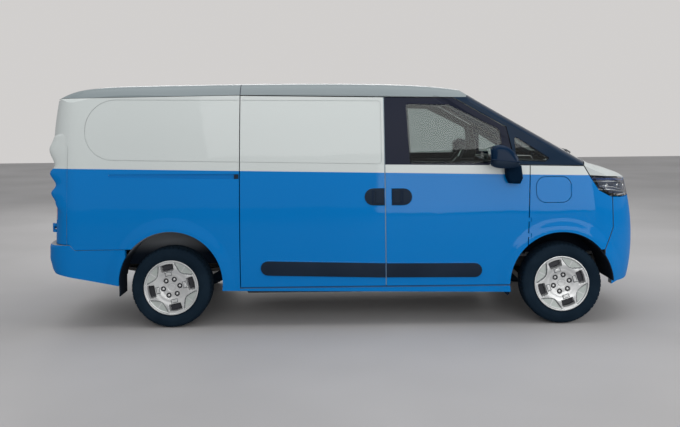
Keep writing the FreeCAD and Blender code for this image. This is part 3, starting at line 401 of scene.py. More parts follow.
def facing_in(tree, place):
    """1 on faces that look into the van, 0 outside; place and normal are the piece's own, at every pose."""
    normal = add(tree, "ShaderNodeTexCoord").outputs["Normal"]
    outward = work_out(tree, "VectorMath", "MULTIPLY_ADD", place, INWARD_WEIGHTS, (0.0, 0.0, -1.0))[0]
    along_it = work_out(tree, "VectorMath", "DOT_PRODUCT", normal, outward)["Value"]
    return work_out(tree, "Math", "LESS_THAN", along_it, INWARD_LIMIT)[0]


def arch_flares(tree, place):
    """The pressed steel swells softly round both wheel arches; this bends the light as that swelling does."""
    normal = None
    for x, z in ((FRONT_AXLE, AXLE_HEIGHT), (REAR_AXLE, REAR_ARCH_Z)):
        flat = work_out(tree, "VectorMath", "MULTIPLY", place, (1.0, 0.0, 1.0))[0]
        away = work_out(tree, "VectorMath", "DISTANCE", flat, (x, 0.0, z))["Value"]
        normal = bumped(tree, eased(tree, away, FLARE_INNER, FLARE_OUTER, 1.0, 0.0), 1.0, FLARE_DEPTH, normal)
    return normal


def body_paint(name, dark_top=False, lining=LOAD_LINING):
    material, tree, shader, place = new_finish(name, Roughness=0.40, Coat_Weight=0.30, Coat_Roughness=0.02,
                                               Specular_IOR_Level=0.0)
    tone = noise(tree, place, 0.7, 2.0)
    blue = mixed(tree, tone, *shades(BLUE, 0.93, 1.07))
    white = mixed(tree, tone, *shades(WHITE, 0.97, 1.03))
    colour = mixed(tree, above_line(tree, place, BELT_X, BELT_Z, BELT_FALL), blue, white)
    if dark_top:
        glasshouse = above_line(tree, place, GLASSHOUSE_X, GLASSHOUSE_Z, GLASSHOUSE_FALL)
        colour = mixed(tree, glasshouse, colour, NIGHT)
        for socket, dull in (("Coat Weight", 0.0), ("Specular IOR Level", 0.12)):
            shiny = shader.inputs[socket].default_value
            level = work_out(tree, "Math", "MULTIPLY_ADD", glasshouse, dull - shiny, shiny)[0]
            tree.links.new(level, shader.inputs[socket])
    tree.links.new(mixed(tree, facing_in(tree, place), colour, lining), shader.inputs["Base Color"])
    waves = bumped(tree, noise(tree, place, 1.6, 1.0), 0.25, 0.010, arch_flares(tree, place))
    peel = bumped(tree, noise(tree, place, PEEL_SCALE, 1.0), 0.035, 0.0003, waves)
    for socket in ("Normal", "Coat Normal"):
        tree.links.new(peel, shader.inputs[socket])
    return material


def upper_paint(name, tone, lining, seam_x=None):
    """The white of the bonnet, darkened as painted shade, or the grey of the roof; the roof's side rail also
    has a thin joint line.
    """
    material, tree, shader, place = new_finish(name, Roughness=0.42, Coat_Weight=0.18, Coat_Roughness=0.06,
                                               Specular_IOR_Level=0.12)
    colour = varied(tree, shader, place, 0.6, *shades(tone, 0.96))
    if seam_x is not None:
        parts = add(tree, "ShaderNodeSeparateXYZ", {"Vector": place}).outputs
        near = work_out(tree, "Math", "COMPARE", parts["X"], seam_x, SEAM_HALF)[0]
        across = work_out(tree, "Math", "ABSOLUTE", parts["Y"])[0]
        on_rail = work_out(tree, "Math", "GREATER_THAN", across, RAIL_INNER_Y)[0]
        colour = mixed(tree, work_out(tree, "Math", "MULTIPLY", near, on_rail)[0], colour, NIGHT)
    tree.links.new(mixed(tree, facing_in(tree, place), colour, lining), shader.inputs["Base Color"])
    grain(tree, shader, place, PEEL_SCALE, 0.03, 0.0003, 1.0)
    return material


paint = body_paint("two_tone_paint")
door_paint = body_paint("cab_door_paint", dark_top=True, lining=CAB_LINING)
# painted shade: the bonnet's white is darkened below the sides' white
white_paint = upper_paint("white_paint", shades(WHITE, BONNET_PAINTED_SHADE)[0], CAB_LINING)
roof_paint = upper_paint("roof_paint", ROOF_GREY, ROOF_LINING, seam_x=SLIDE_REAR_X)
print("paints ready")

# %% [markdown]
# ## Plastics, rubber, glass, metal and cloth
# Black trim on a van is grained plastic, duller than the gloss panels of the pillars. Glass is a thin
# tinted sheet, so it transmits with a light tint. Chassis parts carry satin black paint, and the load space
# is primer grey. The felt of the wheel housings is greyer high up at the rear, where light falls in.

# %% Other finishes
GLASS_INDEX = 1.3
FELT_FADE_LOW, FELT_FADE_HIGH = 0.56, 0.70
# painted light: the paler grey that the felt takes high up at the rear, where light falls in
FELT_LIT_GREY = (0.16, 0.17, 0.18)


def plain_finish(name, dark, light, tone_scale, grain_scale, grain_strength, **settings):
    material, tree, shader, place = new_finish(name, **settings)
    varied(tree, shader, place, tone_scale, dark, light)
    grain(tree, shader, place, grain_scale, grain_strength, 0.0004)
    return material


black_plastic = plain_finish("black_plastic", (0.006, 0.014, 0.028), (0.009, 0.019, 0.036), 3.0, 900.0, 0.35,
                             Roughness=0.55, Specular_IOR_Level=0.12)
gloss_black = plain_finish("gloss_black", (0.001, 0.010, 0.030), (0.002, 0.014, 0.038), 2.0, 500.0, 0.03,
                           Roughness=0.12, Specular_IOR_Level=0.08)
pillar_gloss = plain_finish("pillar_gloss", (0.003, 0.014, 0.034), (0.005, 0.020, 0.044), 1.5, 500.0, 0.03,
                            Roughness=0.15, Specular_IOR_Level=0.07)
deep_plastic = plain_finish("deep_plastic", (0.0005, 0.007, 0.020), (0.001, 0.010, 0.026), 3.0, 900.0, 0.3,
                            Roughness=0.6, Specular_IOR_Level=0.03)
rubber = plain_finish("tyre_rubber", (0.004, 0.011, 0.020), (0.007, 0.016, 0.027), 6.0, 700.0, 0.3,
                      Roughness=0.8, Specular_IOR_Level=0.08)
silver = plain_finish("wheel_silver", (0.50, 0.51, 0.51), (0.60, 0.61, 0.61), 9.0, 1500.0, 0.08,
                      Roughness=0.34, Metallic=0.60)
petal_silver = plain_finish("petal_silver", (0.39, 0.43, 0.41), (0.46, 0.49, 0.47), 9.0, 1500.0, 0.08,
                            Roughness=0.42, Metallic=0.35)
# painted shade: dark grey for the star's steep walls and the edges of the raised pads
wall_shade_silver = plain_finish("wall_shade_silver", (0.15, 0.16, 0.165), (0.20, 0.21, 0.215), 9.0, 1500.0, 0.08,
                           Roughness=0.45, Metallic=0.3)
chassis_black = plain_finish("chassis_black", (0.012, 0.012, 0.013), (0.035, 0.033, 0.030), 4.0, 260.0, 0.3,
                             Roughness=0.6)
cast_alloy = plain_finish("cast_alloy", (0.28, 0.28, 0.28), (0.42, 0.42, 0.41), 7.0, 420.0, 0.4,
                          Roughness=0.5, Metallic=0.8)
primer = plain_finish("load_space_primer", (0.25, 0.26, 0.27), (0.33, 0.34, 0.35), 3.0, 300.0, 0.12,
                      Roughness=0.5)
seam_light = plain_finish("seam_seal", (0.20, 0.27, 0.31), (0.26, 0.33, 0.37), 4.0, 600.0, 0.1, Roughness=0.5)
sill_seal = plain_finish("sill_seal", (0.0, 0.060, 0.19), (0.0, 0.075, 0.22), 4.0, 600.0, 0.1, Roughness=0.5)
cab_plastic = plain_finish("cab_plastic", (0.030, 0.031, 0.034), (0.045, 0.046, 0.050), 5.0, 1100.0, 0.4,
                           Roughness=0.6)
seat_base = plain_finish("seat_base_plastic", (0.02, 0.02, 0.022), (0.03, 0.03, 0.033), 5.0, 900.0, 0.3,
                         Roughness=0.6)
liner_felt, tree, shader, place = new_finish("liner_felt", Roughness=0.9, Specular_IOR_Level=0.1)
felt_tone = varied(tree, shader, place, 5.0, (0.004, 0.008, 0.016), (0.010, 0.015, 0.024))
grain(tree, shader, place, 1200.0, 0.6, 0.0004)
# painted light: high up at the rear the felt is mixed towards a paler grey, where light falls in
parts = add(tree, "ShaderNodeSeparateXYZ", {"Vector": place}).outputs
high_up = eased(tree, parts["Z"], FELT_FADE_LOW, FELT_FADE_HIGH, 0.0, 1.0)
at_rear = work_out(tree, "Math", "LESS_THAN", parts["X"], 0.0)[0]
lit_share = work_out(tree, "Math", "MULTIPLY", high_up, at_rear)[0]
tree.links.new(mixed(tree, lit_share, felt_tone, FELT_LIT_GREY), shader.inputs["Base Color"])


def glass_finish(name, tint):
    material, tree, shader, place = new_finish(name, Roughness=0.0, Transmission_Weight=1.0, IOR=GLASS_INDEX)
    varied(tree, shader, place, 1.5, *shades(tint, 0.97))
    return material


glass = glass_finish("tinted_glass", (0.46, 0.52, 0.51))
lens = glass_finish("clear_lens", (0.92, 0.95, 0.97))
red_lens, tree, shader, place = new_finish("red_lens", Roughness=0.12, Transmission_Weight=0.35,
                                           Coat_Weight=0.6)
varied(tree, shader, place, 12.0, (0.30, 0.006, 0.008), (0.50, 0.012, 0.012))
cloth, tree, shader, place = new_finish("seat_cloth", Roughness=0.9, Sheen_Weight=0.4)
varied(tree, shader, place, 30.0, (0.030, 0.032, 0.038), (0.055, 0.058, 0.066))
warp, weft = (add(tree, "ShaderNodeTexWave", {"Vector": place}, bands_direction=way, Scale=420.0,
                  Distortion=2.0).outputs["Fac"] for way in ("X", "Z"))
threads = work_out(tree, "Math", "ADD", warp, weft)[0]
tree.links.new(bumped(tree, threads, 0.4, 0.0006), shader.inputs["Normal"])
print("materials:", len(bpy.data.materials))

# %% [markdown]
# ## Dress the frame's own pieces
# The panels, glass and running gear come from the frame with the right shape, so they only need their
# finish. The list pairs each finish with the pieces that wear it.

# %% Dress the frame
CORNERS = ("front_left", "front_right", "rear_left", "rear_right")
dress = {
    paint: ["side_panel_left", "side_panel_right", "sliding_door", "fender_left", "fender_right",
            "charge_flap", "front_bumper", "rear_bumper", "rear_door_left", "rear_door_right"],
    door_paint: ["door_left", "door_right"],
    white_paint: ["bonnet"],
    roof_paint: ["roof_panel"],
    pillar_gloss: ["cab_frame"],
    black_plastic: ["sliding_door_trim", "door_trim_left", "door_trim_right"],
    liner_felt: ["wheel_housings"],
    glass: ["cab_glass", "door_glass_left", "door_glass_right", "rear_glass_left", "rear_glass_right"],
    lens: ["headlamps"],
    red_lens: ["tail_lamps"],
    primer: ["floor_pan", "inner_frame"],
    cab_plastic: ["dashboard", "steering_wheel"],
    cloth: ["seats"],
    chassis_black: ["battery_pack", "front_subframe", "rear_axle", "knuckle_left", "knuckle_right",
                    "chassis_rails"],
    cast_alloy: ["drive_unit"],
    silver: ["rim_" + corner for corner in CORNERS],
    rubber: ["tyre_" + corner for corner in CORNERS],
}
for finish, names in dress.items():
    for name in names:
        mesh = nodes[name].data
        mesh.materials.clear()
        mesh.materials.append(finish)
        smooth(nodes[name], 28)
print("dressed", sum(len(names) for names in dress.values()))

# %% [markdown]
# ## Wheel covers
# Each wheel wears a silver cover: a raised star with four arms, each ending at a window by the rim, and
# between the arms a flat petal with one thin groove. One profile is spun into the cover and the barrel
# behind it. The star, petals and windows then come from a height worked out at each point of that disc,
# because the arms flow into each other without an edge that an extrusion could start from. Light and shade
# are painted on the disc as well: the sunk floors of the windows and the pockets round the nuts are
# painted near black as painted shade, the star's steep walls and the edges of the raised pads get a dark
# grey painted shade, and the groove is not cut but painted as a bright silver line, a painted highlight.

# %% Shape of a wheel cover
WHEEL_RADIUS, DISC_OUT = 0.221, 0.08
DISH = [(0.0, 0.074), (0.030, 0.075), (0.070, 0.076), (0.110, 0.083), (0.150, 0.089), (0.190, 0.088),
        (0.208, 0.089), (0.214, 0.095), (0.221, 0.094)]
BARREL = [(0.094, 0.221), (0.084, 0.219), (0.078, 0.203), (0.040, 0.200), (0.020, 0.192), (-0.040, 0.192),
          (-0.060, 0.203), (-0.088, 0.203), (-0.092, 0.221), (-0.096, 0.219), (-0.094, 0.196),
          (-0.060, 0.190), (-0.040, 0.183), (0.020, 0.183), (0.034, 0.190), (0.030, 0.150), (0.028, 0.080),
          (0.020, 0.040), (0.020, 0.0)]
# tones: bright silver, painted shade in the window floors and nut pockets, dull petals, and a dark grey
# painted shade on the steep walls and pad edges
BRIGHT, HOLLOW_SHADE, PETAL, WALL_SHADE = range(4)
PETAL_START, PETAL_ROUND, PETAL_SPREAD, PETAL_SINK, PETAL_END = 0.126, 0.015, 0.60, 0.004, (0.206, 0.211)
PETAL_OUT, PETAL_TILT, PETAL_EDGE, EDGE_END = 0.077, 0.004, (-0.002, 0.006), 0.200
# painted highlight: the groove is not cut, only drawn as a thin bright silver line down each petal
GROOVE_GLINT_HALF, GROOVE_GLINT_START = (0.0010, 0.0022), (0.148, 0.152)
WINDOW_START, WINDOW_END, WINDOW_HALF, WINDOW_SPREAD, WINDOW_DEPTH = 0.135, 0.190, 0.046, 0.10, 0.040
PAD_START, PAD_END, PAD_HALF, PAD_RISE = 0.098, 0.124, 0.025, 0.005
NUT_RING, NUT_ANGLE, POCKET_WALL, POCKET_DEPTH = 0.068, -1.0, (0.0185, 0.0220), 0.012
CAP_RING, CAP_GROOVE, CAP_WALL, CAP_RISE = 0.031, 0.0025, (0.026, 0.031), 0.003


def soft_step(low, high, at):
    share = min(1.0, max(0.0, (at - low) / (high - low)))
    return share * share * (3 - 2 * share)


def along(points, at):
    for (a, low), (b, high) in zip(points, points[1:]):
        if at <= b:
            return low + (high - low) * soft_step(a, b, at)
    return points[-1][1]


def beside(radius, turn, step, start):
    """How far a point lies along and across the nearest of several arms, step degrees apart."""
    away = math.radians((turn - start + step / 2) % step - step / 2)
    return radius * math.cos(away), radius * math.sin(away)


def cover_height(radius, turn):
    """How far out the cover stands, and its tone: bright silver, painted shade in the hollows, the dull
    petals or painted shade on the steep walls.
    """
    out, tone = along(DISH, radius), BRIGHT
    u, v = beside(radius, turn, 90.0, 45.0)
    edge = PETAL_START + math.sqrt(PETAL_ROUND ** 2 + (PETAL_SPREAD * v) ** 2)
    inside = soft_step(*PETAL_EDGE, u - edge) * (1 - soft_step(*PETAL_END, radius))
    flat = PETAL_OUT + PETAL_TILT * (radius - 0.14) / 0.07
    # painted highlight: a thin bright silver line down the middle of each petal stands in for the groove
    # catching light
    line = (1 - soft_step(*GROOVE_GLINT_HALF, abs(v))) * soft_step(*GROOVE_GLINT_START, radius)
    out += inside * (flat - PETAL_SINK - out)
    if inside > 0.5:
        tone = PETAL if line < 0.4 else BRIGHT
    # painted shade: the steep wall between the star and a petal is dark grey
    if 0.10 < inside < 0.80 and radius < EDGE_END:
        tone = WALL_SHADE
    u, v = beside(radius, turn, 90.0, 0.0)
    half_wide = WINDOW_HALF + WINDOW_SPREAD * (u - WINDOW_START)
    gap = max(WINDOW_START - u, radius - WINDOW_END, abs(v) - half_wide)
    if gap < 0.004:
        out -= WINDOW_DEPTH * (1 - soft_step(-0.004, 0.003, gap))
        # painted shade: the sunk floor of each window is near black
        tone = HOLLOW_SHADE if gap < -0.0015 else BRIGHT
    pad_gap = max(PAD_START - u, u - PAD_END, abs(v) - PAD_HALF)
    out += PAD_RISE * (1 - soft_step(-0.003, 0.0, pad_gap))
    # painted shade: a dark grey outline round each raised pad
    if -0.0015 < pad_gap < 0.0020:
        tone = WALL_SHADE
    u, v = beside(radius, turn, 60.0, NUT_ANGLE)
    away = math.hypot(u - NUT_RING, v)
    if away < 0.024:
        out -= POCKET_DEPTH * (1 - soft_step(*POCKET_WALL, away))
        # painted shade: the pocket round each nut is near black
        tone = HOLLOW_SHADE if away < 0.0215 else BRIGHT
    out -= CAP_GROOVE * (1 - soft_step(0.0006, 0.0022, abs(radius - CAP_RING)))
    out += CAP_RISE * (1 - soft_step(*CAP_WALL, radius))
    return out, tone


print("dish", [round(cover_height(r, 0.0)[0], 4) for r in (0.0, 0.1, 0.16, 0.2)])

# %% Spin the cover and raise its star
RINGS, STEPS = 74, 240
disc = [(DISC_OUT, WHEEL_RADIUS * i / RINGS) for i in range(RINGS + 1)]
cover = spun("wheel_cover", disc + BARREL[1:], (0, 0, 0), (0, 1, 0), STEPS)
# painted shade: near black for the window floors and the nut pockets
window_shade = plain_finish("window_shade", (0.006, 0.007, 0.012), (0.012, 0.013, 0.02), 6.0, 300.0, 0.1,
                           Roughness=0.55)
for finish in (silver, window_shade, petal_silver, wall_shade_silver):
    cover.data.materials.append(finish)
shade = {}
for vertex in cover.data.vertices:
    x, y, z = vertex.co
    if abs(y - DISC_OUT) < 1e-4:
        vertex.co.y, shade[vertex.index] = cover_height(math.hypot(x, z), math.degrees(math.atan2(z, x)))
for face in cover.data.polygons:
    tones = {shade.get(i, BRIGHT) for i in face.vertices}
    if len(tones) == 1:
        face.material_index = tones.pop()
    else:
        face.material_index = WALL_SHADE if WALL_SHADE in tones and HOLLOW_SHADE not in tones else BRIGHT
print("dark faces", sum(face.material_index == HOLLOW_SHADE for face in cover.data.polygons))

# %% Wheel nuts
NUT = [(0.060, 0.0105), (0.073, 0.0102), (0.0755, 0.0088), (0.0775, 0.0062), (0.0785, 0.0032), (0.079, 0.0)]
first_nut = spun("nut", NUT, (NUT_RING, 0, 0), (0, 1, 0), 24, silver)
nuts = [twin(first_nut, "nut_" + str(k), turned(-(NUT_ANGLE + 60 * k), "Y")) for k in range(6)]
bpy.data.objects.remove(first_nut)
wheel_pattern = join([cover] + nuts, "wheel_pattern")
print("wheel faces", len(wheel_pattern.data.polygons))

# %% Put a wheel at each corner
TRACK = 0.805
ARM_ANGLES = {"front": 18.0, "rear": 12.0}


def at_corner(corner):
    """The move from the origin to a corner's wheel."""
    axle = FRONT_AXLE if corner.startswith("front") else REAR_AXLE
    return moved(axle, TRACK if corner.endswith("left") else -TRACK, AXLE_HEIGHT)


for corner in CORNERS:
    turn = turned(-ARM_ANGLES[corner.split("_")[0]], "Y")
    wheel = twin(wheel_pattern, "wheel_" + corner, turn, flip_y=corner.endswith("right"))
    wheel.data.transform(at_corner(corner))
    smooth(wheel, 40)
    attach(wheel, "wheel_" + corner)
    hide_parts("rim_" + corner)
bpy.data.objects.remove(wheel_pattern)
print("wheels placed")

# %% [markdown]
# ## Tyres
# A tyre is a spun section: bead, bulging sidewall, shoulder and a tread with four grooves round it. The
# cross cuts are made by picking every fourth row of the shoulder's faces and every sixth row of the blocks'
# faces and pressing them in.

# %% Spin a tyre and cut its tread
TYRE_OUT = [(0.062, 0.2035), (0.078, 0.2045), (0.0825, 0.222), (0.0885, 0.2265), (0.0895, 0.23),
            (0.0885, 0.2325), (0.0935, 0.242), (0.0975, 0.256), (0.0985, 0.270), (0.098, 0.282),
            (0.0965, 0.286), (0.097, 0.289), (0.0945, 0.300), (0.089, 0.311), (0.082, 0.3185),
            (0.0735, 0.3225), (0.06, 0.3245)]
GROOVES = [(0.0560, 0.0470), (0.0190, 0.0110)]
INNER_WALL = [(-0.062, 0.204), (-0.072, 0.222), (-0.084, 0.270), (-0.078, 0.300), (-0.060, 0.311),
              (0.060, 0.311), (0.078, 0.300), (0.084, 0.270), (0.072, 0.222), (0.062, 0.2035)]
GROOVE_WALL, GROOVE_FLOOR = 0.0008, 0.3180
TREAD_STEPS, CUT_DEPTH = 216, 0.005
CUTS = ((0.058, 0.088, 0.312, 4), (0.0200, 0.0460, 0.322, 6))
half = list(TYRE_OUT)
for outer, inner in GROOVES:
    half += [(outer, 0.3250), (outer - GROOVE_WALL, GROOVE_FLOOR), (inner + GROOVE_WALL, GROOVE_FLOOR),
             (inner, 0.3258)]
section = half + [(-out, radius) for out, radius in reversed(half)] + INNER_WALL
tyre = spun("tyre_pattern", section, (0, 0, 0), (0, 1, 0), TREAD_STEPS, rubber)


def is_cross_cut(middle):
    """True in the cut rows of the shoulder and of the blocks, each a band across the tyre."""
    radius = math.hypot(middle.x, middle.z)
    row = int((math.degrees(math.atan2(middle.z, middle.x)) + 360.0) * TREAD_STEPS / 360.0 + 0.5)
    return any(inner < abs(middle.y) < outer and radius > lowest and row % every == 0
               for inner, outer, lowest, every in CUTS)


pick_faces(tyre, is_cross_cut)
bpy.ops.mesh.extrude_region_shrink_fatten(TRANSFORM_OT_shrink_fatten={"value": -CUT_DEPTH})
bpy.ops.object.mode_set(mode="OBJECT")
print("tyre faces", len(tyre.data.polygons))

# %% Put a tyre at each corner
for corner in CORNERS:
    piece = twin(tyre, "tread_" + corner, at_corner(corner))
    smooth(piece, 35)
    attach(piece, "wheel_" + corner)
    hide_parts("tyre_" + corner)
bpy.data.objects.remove(tyre)
print("tyres placed")

# %% [markdown]
# ## Rub strips
# A black moulding runs along the sliding door and the front door, each part with one rounded end. It is a
# flat outline with a bevelled edge, set into the panel's side and standing a little proud of it, and it
# leans with the panel. A thin rim in the body's paint frames it.

# %% Side frame for flat pieces
SIDE_Z, SIDE_Y, SIDE_BOW = 0.76, 0.935, 0.0988
WAIST_Z, UPPER_HEIGHT, UPPER_LEAN, UPPER_BOW = 1.25, 0.63, 0.058, 0.035


def panel_half_width(z):
    """Half the van's width at a height, as the body was drawn."""
    if z < WAIST_Z:
        return SIDE_Y - SIDE_BOW * (z - SIDE_Z) ** 2
    up = (z - WAIST_Z) / UPPER_HEIGHT
    return SIDE_Y - SIDE_BOW * (WAIST_Z - SIDE_Z) ** 2 - UPPER_LEAN * up - UPPER_BOW * up * up


def side_plate(name, points, middle, thick, bevel, stand, finish):
    """A flat piece drawn in x and z, laid on the right side at the height of its middle, leaning with it."""
    lean = math.atan2(panel_half_width(middle + 0.02) - panel_half_width(middle - 0.02), 0.04)
    left = (moved(0, panel_half_width(middle) + stand, middle) @ Matrix.Rotation(-lean, 4, "X")
            @ turned(90, "X") @ Matrix.Scale(-1, 4, (0, 0, 1)))
    outline = [(x, z - middle) for x, z in points]
    return plate(name, outline, thick, bevel, Matrix.Scale(-1, 4, (0, 1, 0)) @ left, finish)


def pill(x0, x1, z0, z1, left_round, right_round, slope=0.0, steps=8):
    """An outline with a half round at one end or both, its long edges falling by slope."""
    middle, radius = (z0 + z1) / 2, (z1 - z0) / 2
    points = []
    for end, first, is_round in ((x1, -90, right_round), (x0, 90, left_round)):
        sign = 1 if end == x1 else -1
        if is_round:
            for i in range(steps + 1):
                turn = math.radians(first + 180 * i / steps)
                reach = radius * math.cos(turn) - sign * radius
                points.append((end + reach, middle + radius * math.sin(turn)))
        else:
            points += [(end, middle - sign * radius), (end, middle + sign * radius)]
    return [(x, z - slope * (x - x0)) for x, z in points]


print("half width at the belt", round(panel_half_width(1.24), 4))

# %% Make the rub strips
STRIP_MIDDLE, RIM_WIDTH = 0.468, 0.007
strips = {}
for name, x0, x1, z0, z1, slope in (("slide", -0.702, 0.3045, 0.423, 0.540, 0.0270),
                                    ("door", 0.3155, 1.085, 0.397, 0.512, 0.0075)):
    ends = (name == "slide", name == "door")
    strip = side_plate("strip_" + name, pill(x0, x1, z0, z1, *ends, slope), STRIP_MIDDLE, 0.012, 0.0035,
                       0.0035, black_plastic)
    wider = pill(x0 - RIM_WIDTH * ends[0], x1 + RIM_WIDTH * ends[1], z0 - RIM_WIDTH, z1 + RIM_WIDTH, *ends,
                 slope)
    rim = side_plate("rim_" + name, wider, STRIP_MIDDLE, 0.006, 0.0024, 0.0006, paint)
    strips[name] = join([strip, rim], "strip_" + name)
print({name: [round(v, 3) for v in strip.dimensions] for name, strip in strips.items()})

# %% [markdown]
# ## Door handles
# Each handle is a black pill with a rim, a sunk floor with upright ribs and a grip bar over it. The two
# pills face each other across the door gap. They are flat outlines too, stacked from the panel outwards.

# %% Make the handles
HANDLE_MIDDLE, HANDLE_RIM = 1.048, 0.004
RIB_HALF, GRIP_INSET, RIB_INSET = 0.003, 0.016, 0.014


def handle(name, x0, x1, z0, z1, round_left, grip, ribs):
    """Floor, grip, ribs and rim: each has its outline, thickness, bevel, how far it stands out and finish."""
    ends = (round_left, not round_left)
    bar = rounded_box(*grip, z0 + GRIP_INSET, z1 - GRIP_INSET, 0.010)
    wider = pill(x0 - HANDLE_RIM, x1 + HANDLE_RIM, z0 - HANDLE_RIM, z1 + HANDLE_RIM, *ends)
    layers = [("_floor", pill(x0, x1, z0, z1, *ends), 0.006, 0.0015, 0.0005, black_plastic),
              ("_grip", bar, 0.008, 0.0025, 0.0055, black_plastic)]
    for x in ribs:
        rib = rounded_box(x - RIB_HALF, x + RIB_HALF, z0 + RIB_INSET, z1 - RIB_INSET, 0.0028, 3)
        layers.append(("_rib", rib, 0.006, 0.001, 0.0035, gloss_black))
    layers.append(("_rim", wider, 0.004, 0.0015, 0.0002, paint))
    return [side_plate(name + part, outline, HANDLE_MIDDLE, *sizes) for part, outline, *sizes in layers]


slide_handle = handle("slide_handle", 0.142, 0.3045, 0.979, 1.117, True, (0.232, 0.296), (0.205, 0.219))
door_handle = handle("door_handle", 0.362, 0.527, 0.979, 1.114, False, (0.368, 0.424), (0.438, 0.452))
print("handle parts", len(slide_handle) + len(door_handle))

# %% [markdown]
# ## Door mirrors
# The mirror is a rounded housing on a foot that grows from the door below the glass. The housing is a
# smooth outline with a wide bevel, so that it is full in the middle and round at its edges. Its lower part
# is grained black and its cap is gloss, with the glass set in the side that faces the driver.

# %% Make the mirror
HEAD = [(1.134, 1.300), (1.132, 1.380), (1.142, 1.440), (1.185, 1.469), (1.245, 1.462), (1.310, 1.425),
        (1.352, 1.365), (1.366, 1.310), (1.345, 1.282), (1.270, 1.276), (1.180, 1.277)]
FOOT = [(1.272, 1.290), (1.398, 1.290), (1.409, 1.190), (1.386, 1.146), (1.302, 1.150), (1.280, 1.200)]
BAND = [(1.131, 1.345), (1.24, 1.336), (1.362, 1.322), (1.362, 1.331), (1.24, 1.345), (1.131, 1.354)]
MIRROR_OUT, FOOT_OUT = 1.050, 0.955
CAP_X, CAP_Z, CAP_FALL = 1.13, 1.352, 0.10
upright = turned(90, "X")
head_place = moved(0, -MIRROR_OUT, 0) @ upright
head = plate("mirror_head", HEAD, 0.165, 0.048, head_place, gloss_black, smoothness=4, steps=8)
head.data.materials.append(black_plastic)
for face in head.data.polygons:
    face.material_index = int(face.center.z < CAP_Z - CAP_FALL * (face.center.x - CAP_X))
foot = plate("mirror_foot", FOOT, 0.105, 0.022, moved(0, -FOOT_OUT, 0) @ upright, deep_plastic,
             smoothness=2, steps=5)
band = plate("mirror_band", BAND, 0.167, 0.003, head_place, gloss_black)
face_glass, tree, shader, place = new_finish("mirror_face", Metallic=1.0, Roughness=0.03)
varied(tree, shader, place, 3.0, (0.80, 0.83, 0.85), (0.86, 0.88, 0.90))
reflector = plate("mirror_glass", rounded_box(-0.062, 0.062, -0.066, 0.066, 0.022), 0.006, 0.0012,
                  moved(1.1335, -MIRROR_OUT, 1.368) @ turned(90, "Y"), face_glass)
reflector.data.materials.append(gloss_black)
for face in reflector.data.polygons:
    face.material_index = int(abs(face.normal.x) < 0.95)
mirror_parts = [head, foot, band, reflector]
print("mirror parts", len(mirror_parts))

# %% Gather each door's trim and hang it
slide_trim = gather([strips["slide"]] + slide_handle, "slide_trim", 32)
right_trim = gather([strips["door"]] + door_handle + mirror_parts, "right_trim", 32)
left_trim = twin(right_trim, "left_trim", flip_y=True)
for piece, body, node in ((slide_trim, "body", "sliding_door_trim"),
                          (right_trim, "front_door_right", "door_trim_right"),
                          (left_trim, "front_door_left", "door_trim_left")):
    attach(piece, body)
    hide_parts(node)
print("trims hung")

# %% [markdown]
# ## Seats
# The cab has a driver's seat and a double seat beside it. Each has a moulded base, a cushion, a back and
# headrests, all covered in cloth over foam. A pad is first a box with rounded edges in even small faces. It
# is then blown up a little by cloth simulation, as foam fills its cover, and last the sewn channels are
# pressed in.

# %% Padded pieces
VOXEL, SHRINK, SWELL_LIMIT = 0.009, 0.010, 0.016
PRESSURE, LAST_MOMENT = 4.0, 16
CHANNEL_DEPTH, ACROSS_DEPTH, CHANNEL_HALF = 0.010, 0.008, 0.009
pads = []


def swell(piece):
    """Cloth simulation under pressure, kept within SWELL_LIMIT of the shape that it starts from."""
    before = [v.co.copy() for v in piece.data.vertices]
    cover_cloth = piece.modifiers.new("Cloth", "CLOTH")
    cover_cloth.settings.use_pressure = True
    cover_cloth.settings.uniform_pressure_force = PRESSURE
    cover_cloth.settings.quality = 3
    cover_cloth.settings.effector_weights.gravity = 0.0
    cover_cloth.point_cache.frame_end = 20
    for moment in range(1, LAST_MOMENT + 1):
        bpy.context.scene.frame_set(moment)
    swollen = piece.evaluated_get(bpy.context.evaluated_depsgraph_get()).to_mesh()
    for vertex, start, end in zip(piece.data.vertices, before, [v.co.copy() for v in swollen.vertices]):
        move = end - start
        if move.length > SWELL_LIMIT:
            move *= SWELL_LIMIT / move.length
        vertex.co = start + move
    piece.modifiers.remove(cover_cloth)
    bpy.context.scene.frame_set(1)


def pad(name, low, high, lean, pivot, edge=0.045, channels=(), across=()):
    """A foam pad between two corners, leaning back about its pivot, with sewn channels at given y and z."""
    deselect()
    middle = [(a + b) / 2 for a, b in zip(low, high)]
    bpy.ops.mesh.primitive_cube_add(size=1, location=middle)
    piece = named(name)
    piece.scale = [b - a - SHRINK for a, b in zip(low, high)]
    settle(piece)
    bpy.ops.object.mode_set(mode="EDIT")
    bpy.ops.mesh.select_all(action="SELECT")
    bpy.ops.mesh.bevel(offset=edge, segments=4, profile=0.6, affect="EDGES")
    bpy.ops.object.mode_set(mode="OBJECT")
    modify(piece, "REMESH", mode="VOXEL", voxel_size=VOXEL)
    swell(piece)
    for vertex in piece.data.vertices:
        inward = Vector(middle) - vertex.co
        inward.normalize()
        for y in channels:
            vertex.co += inward * CHANNEL_DEPTH * math.exp(-((vertex.co.y - y) / CHANNEL_HALF) ** 2)
        for z in across:
            vertex.co += inward * ACROSS_DEPTH * math.exp(-((vertex.co.z - z) / CHANNEL_HALF) ** 2)
    about = Matrix.Translation(pivot)
    piece.data.transform(about @ turned(lean, "Y") @ about.inverted())
    modify(piece, "SMOOTH", factor=0.5, iterations=2)
    piece.data.materials.append(cloth)
    smooth(piece, 60)
    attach(piece, "body")
    pads.append(piece)


print("pad maker ready")

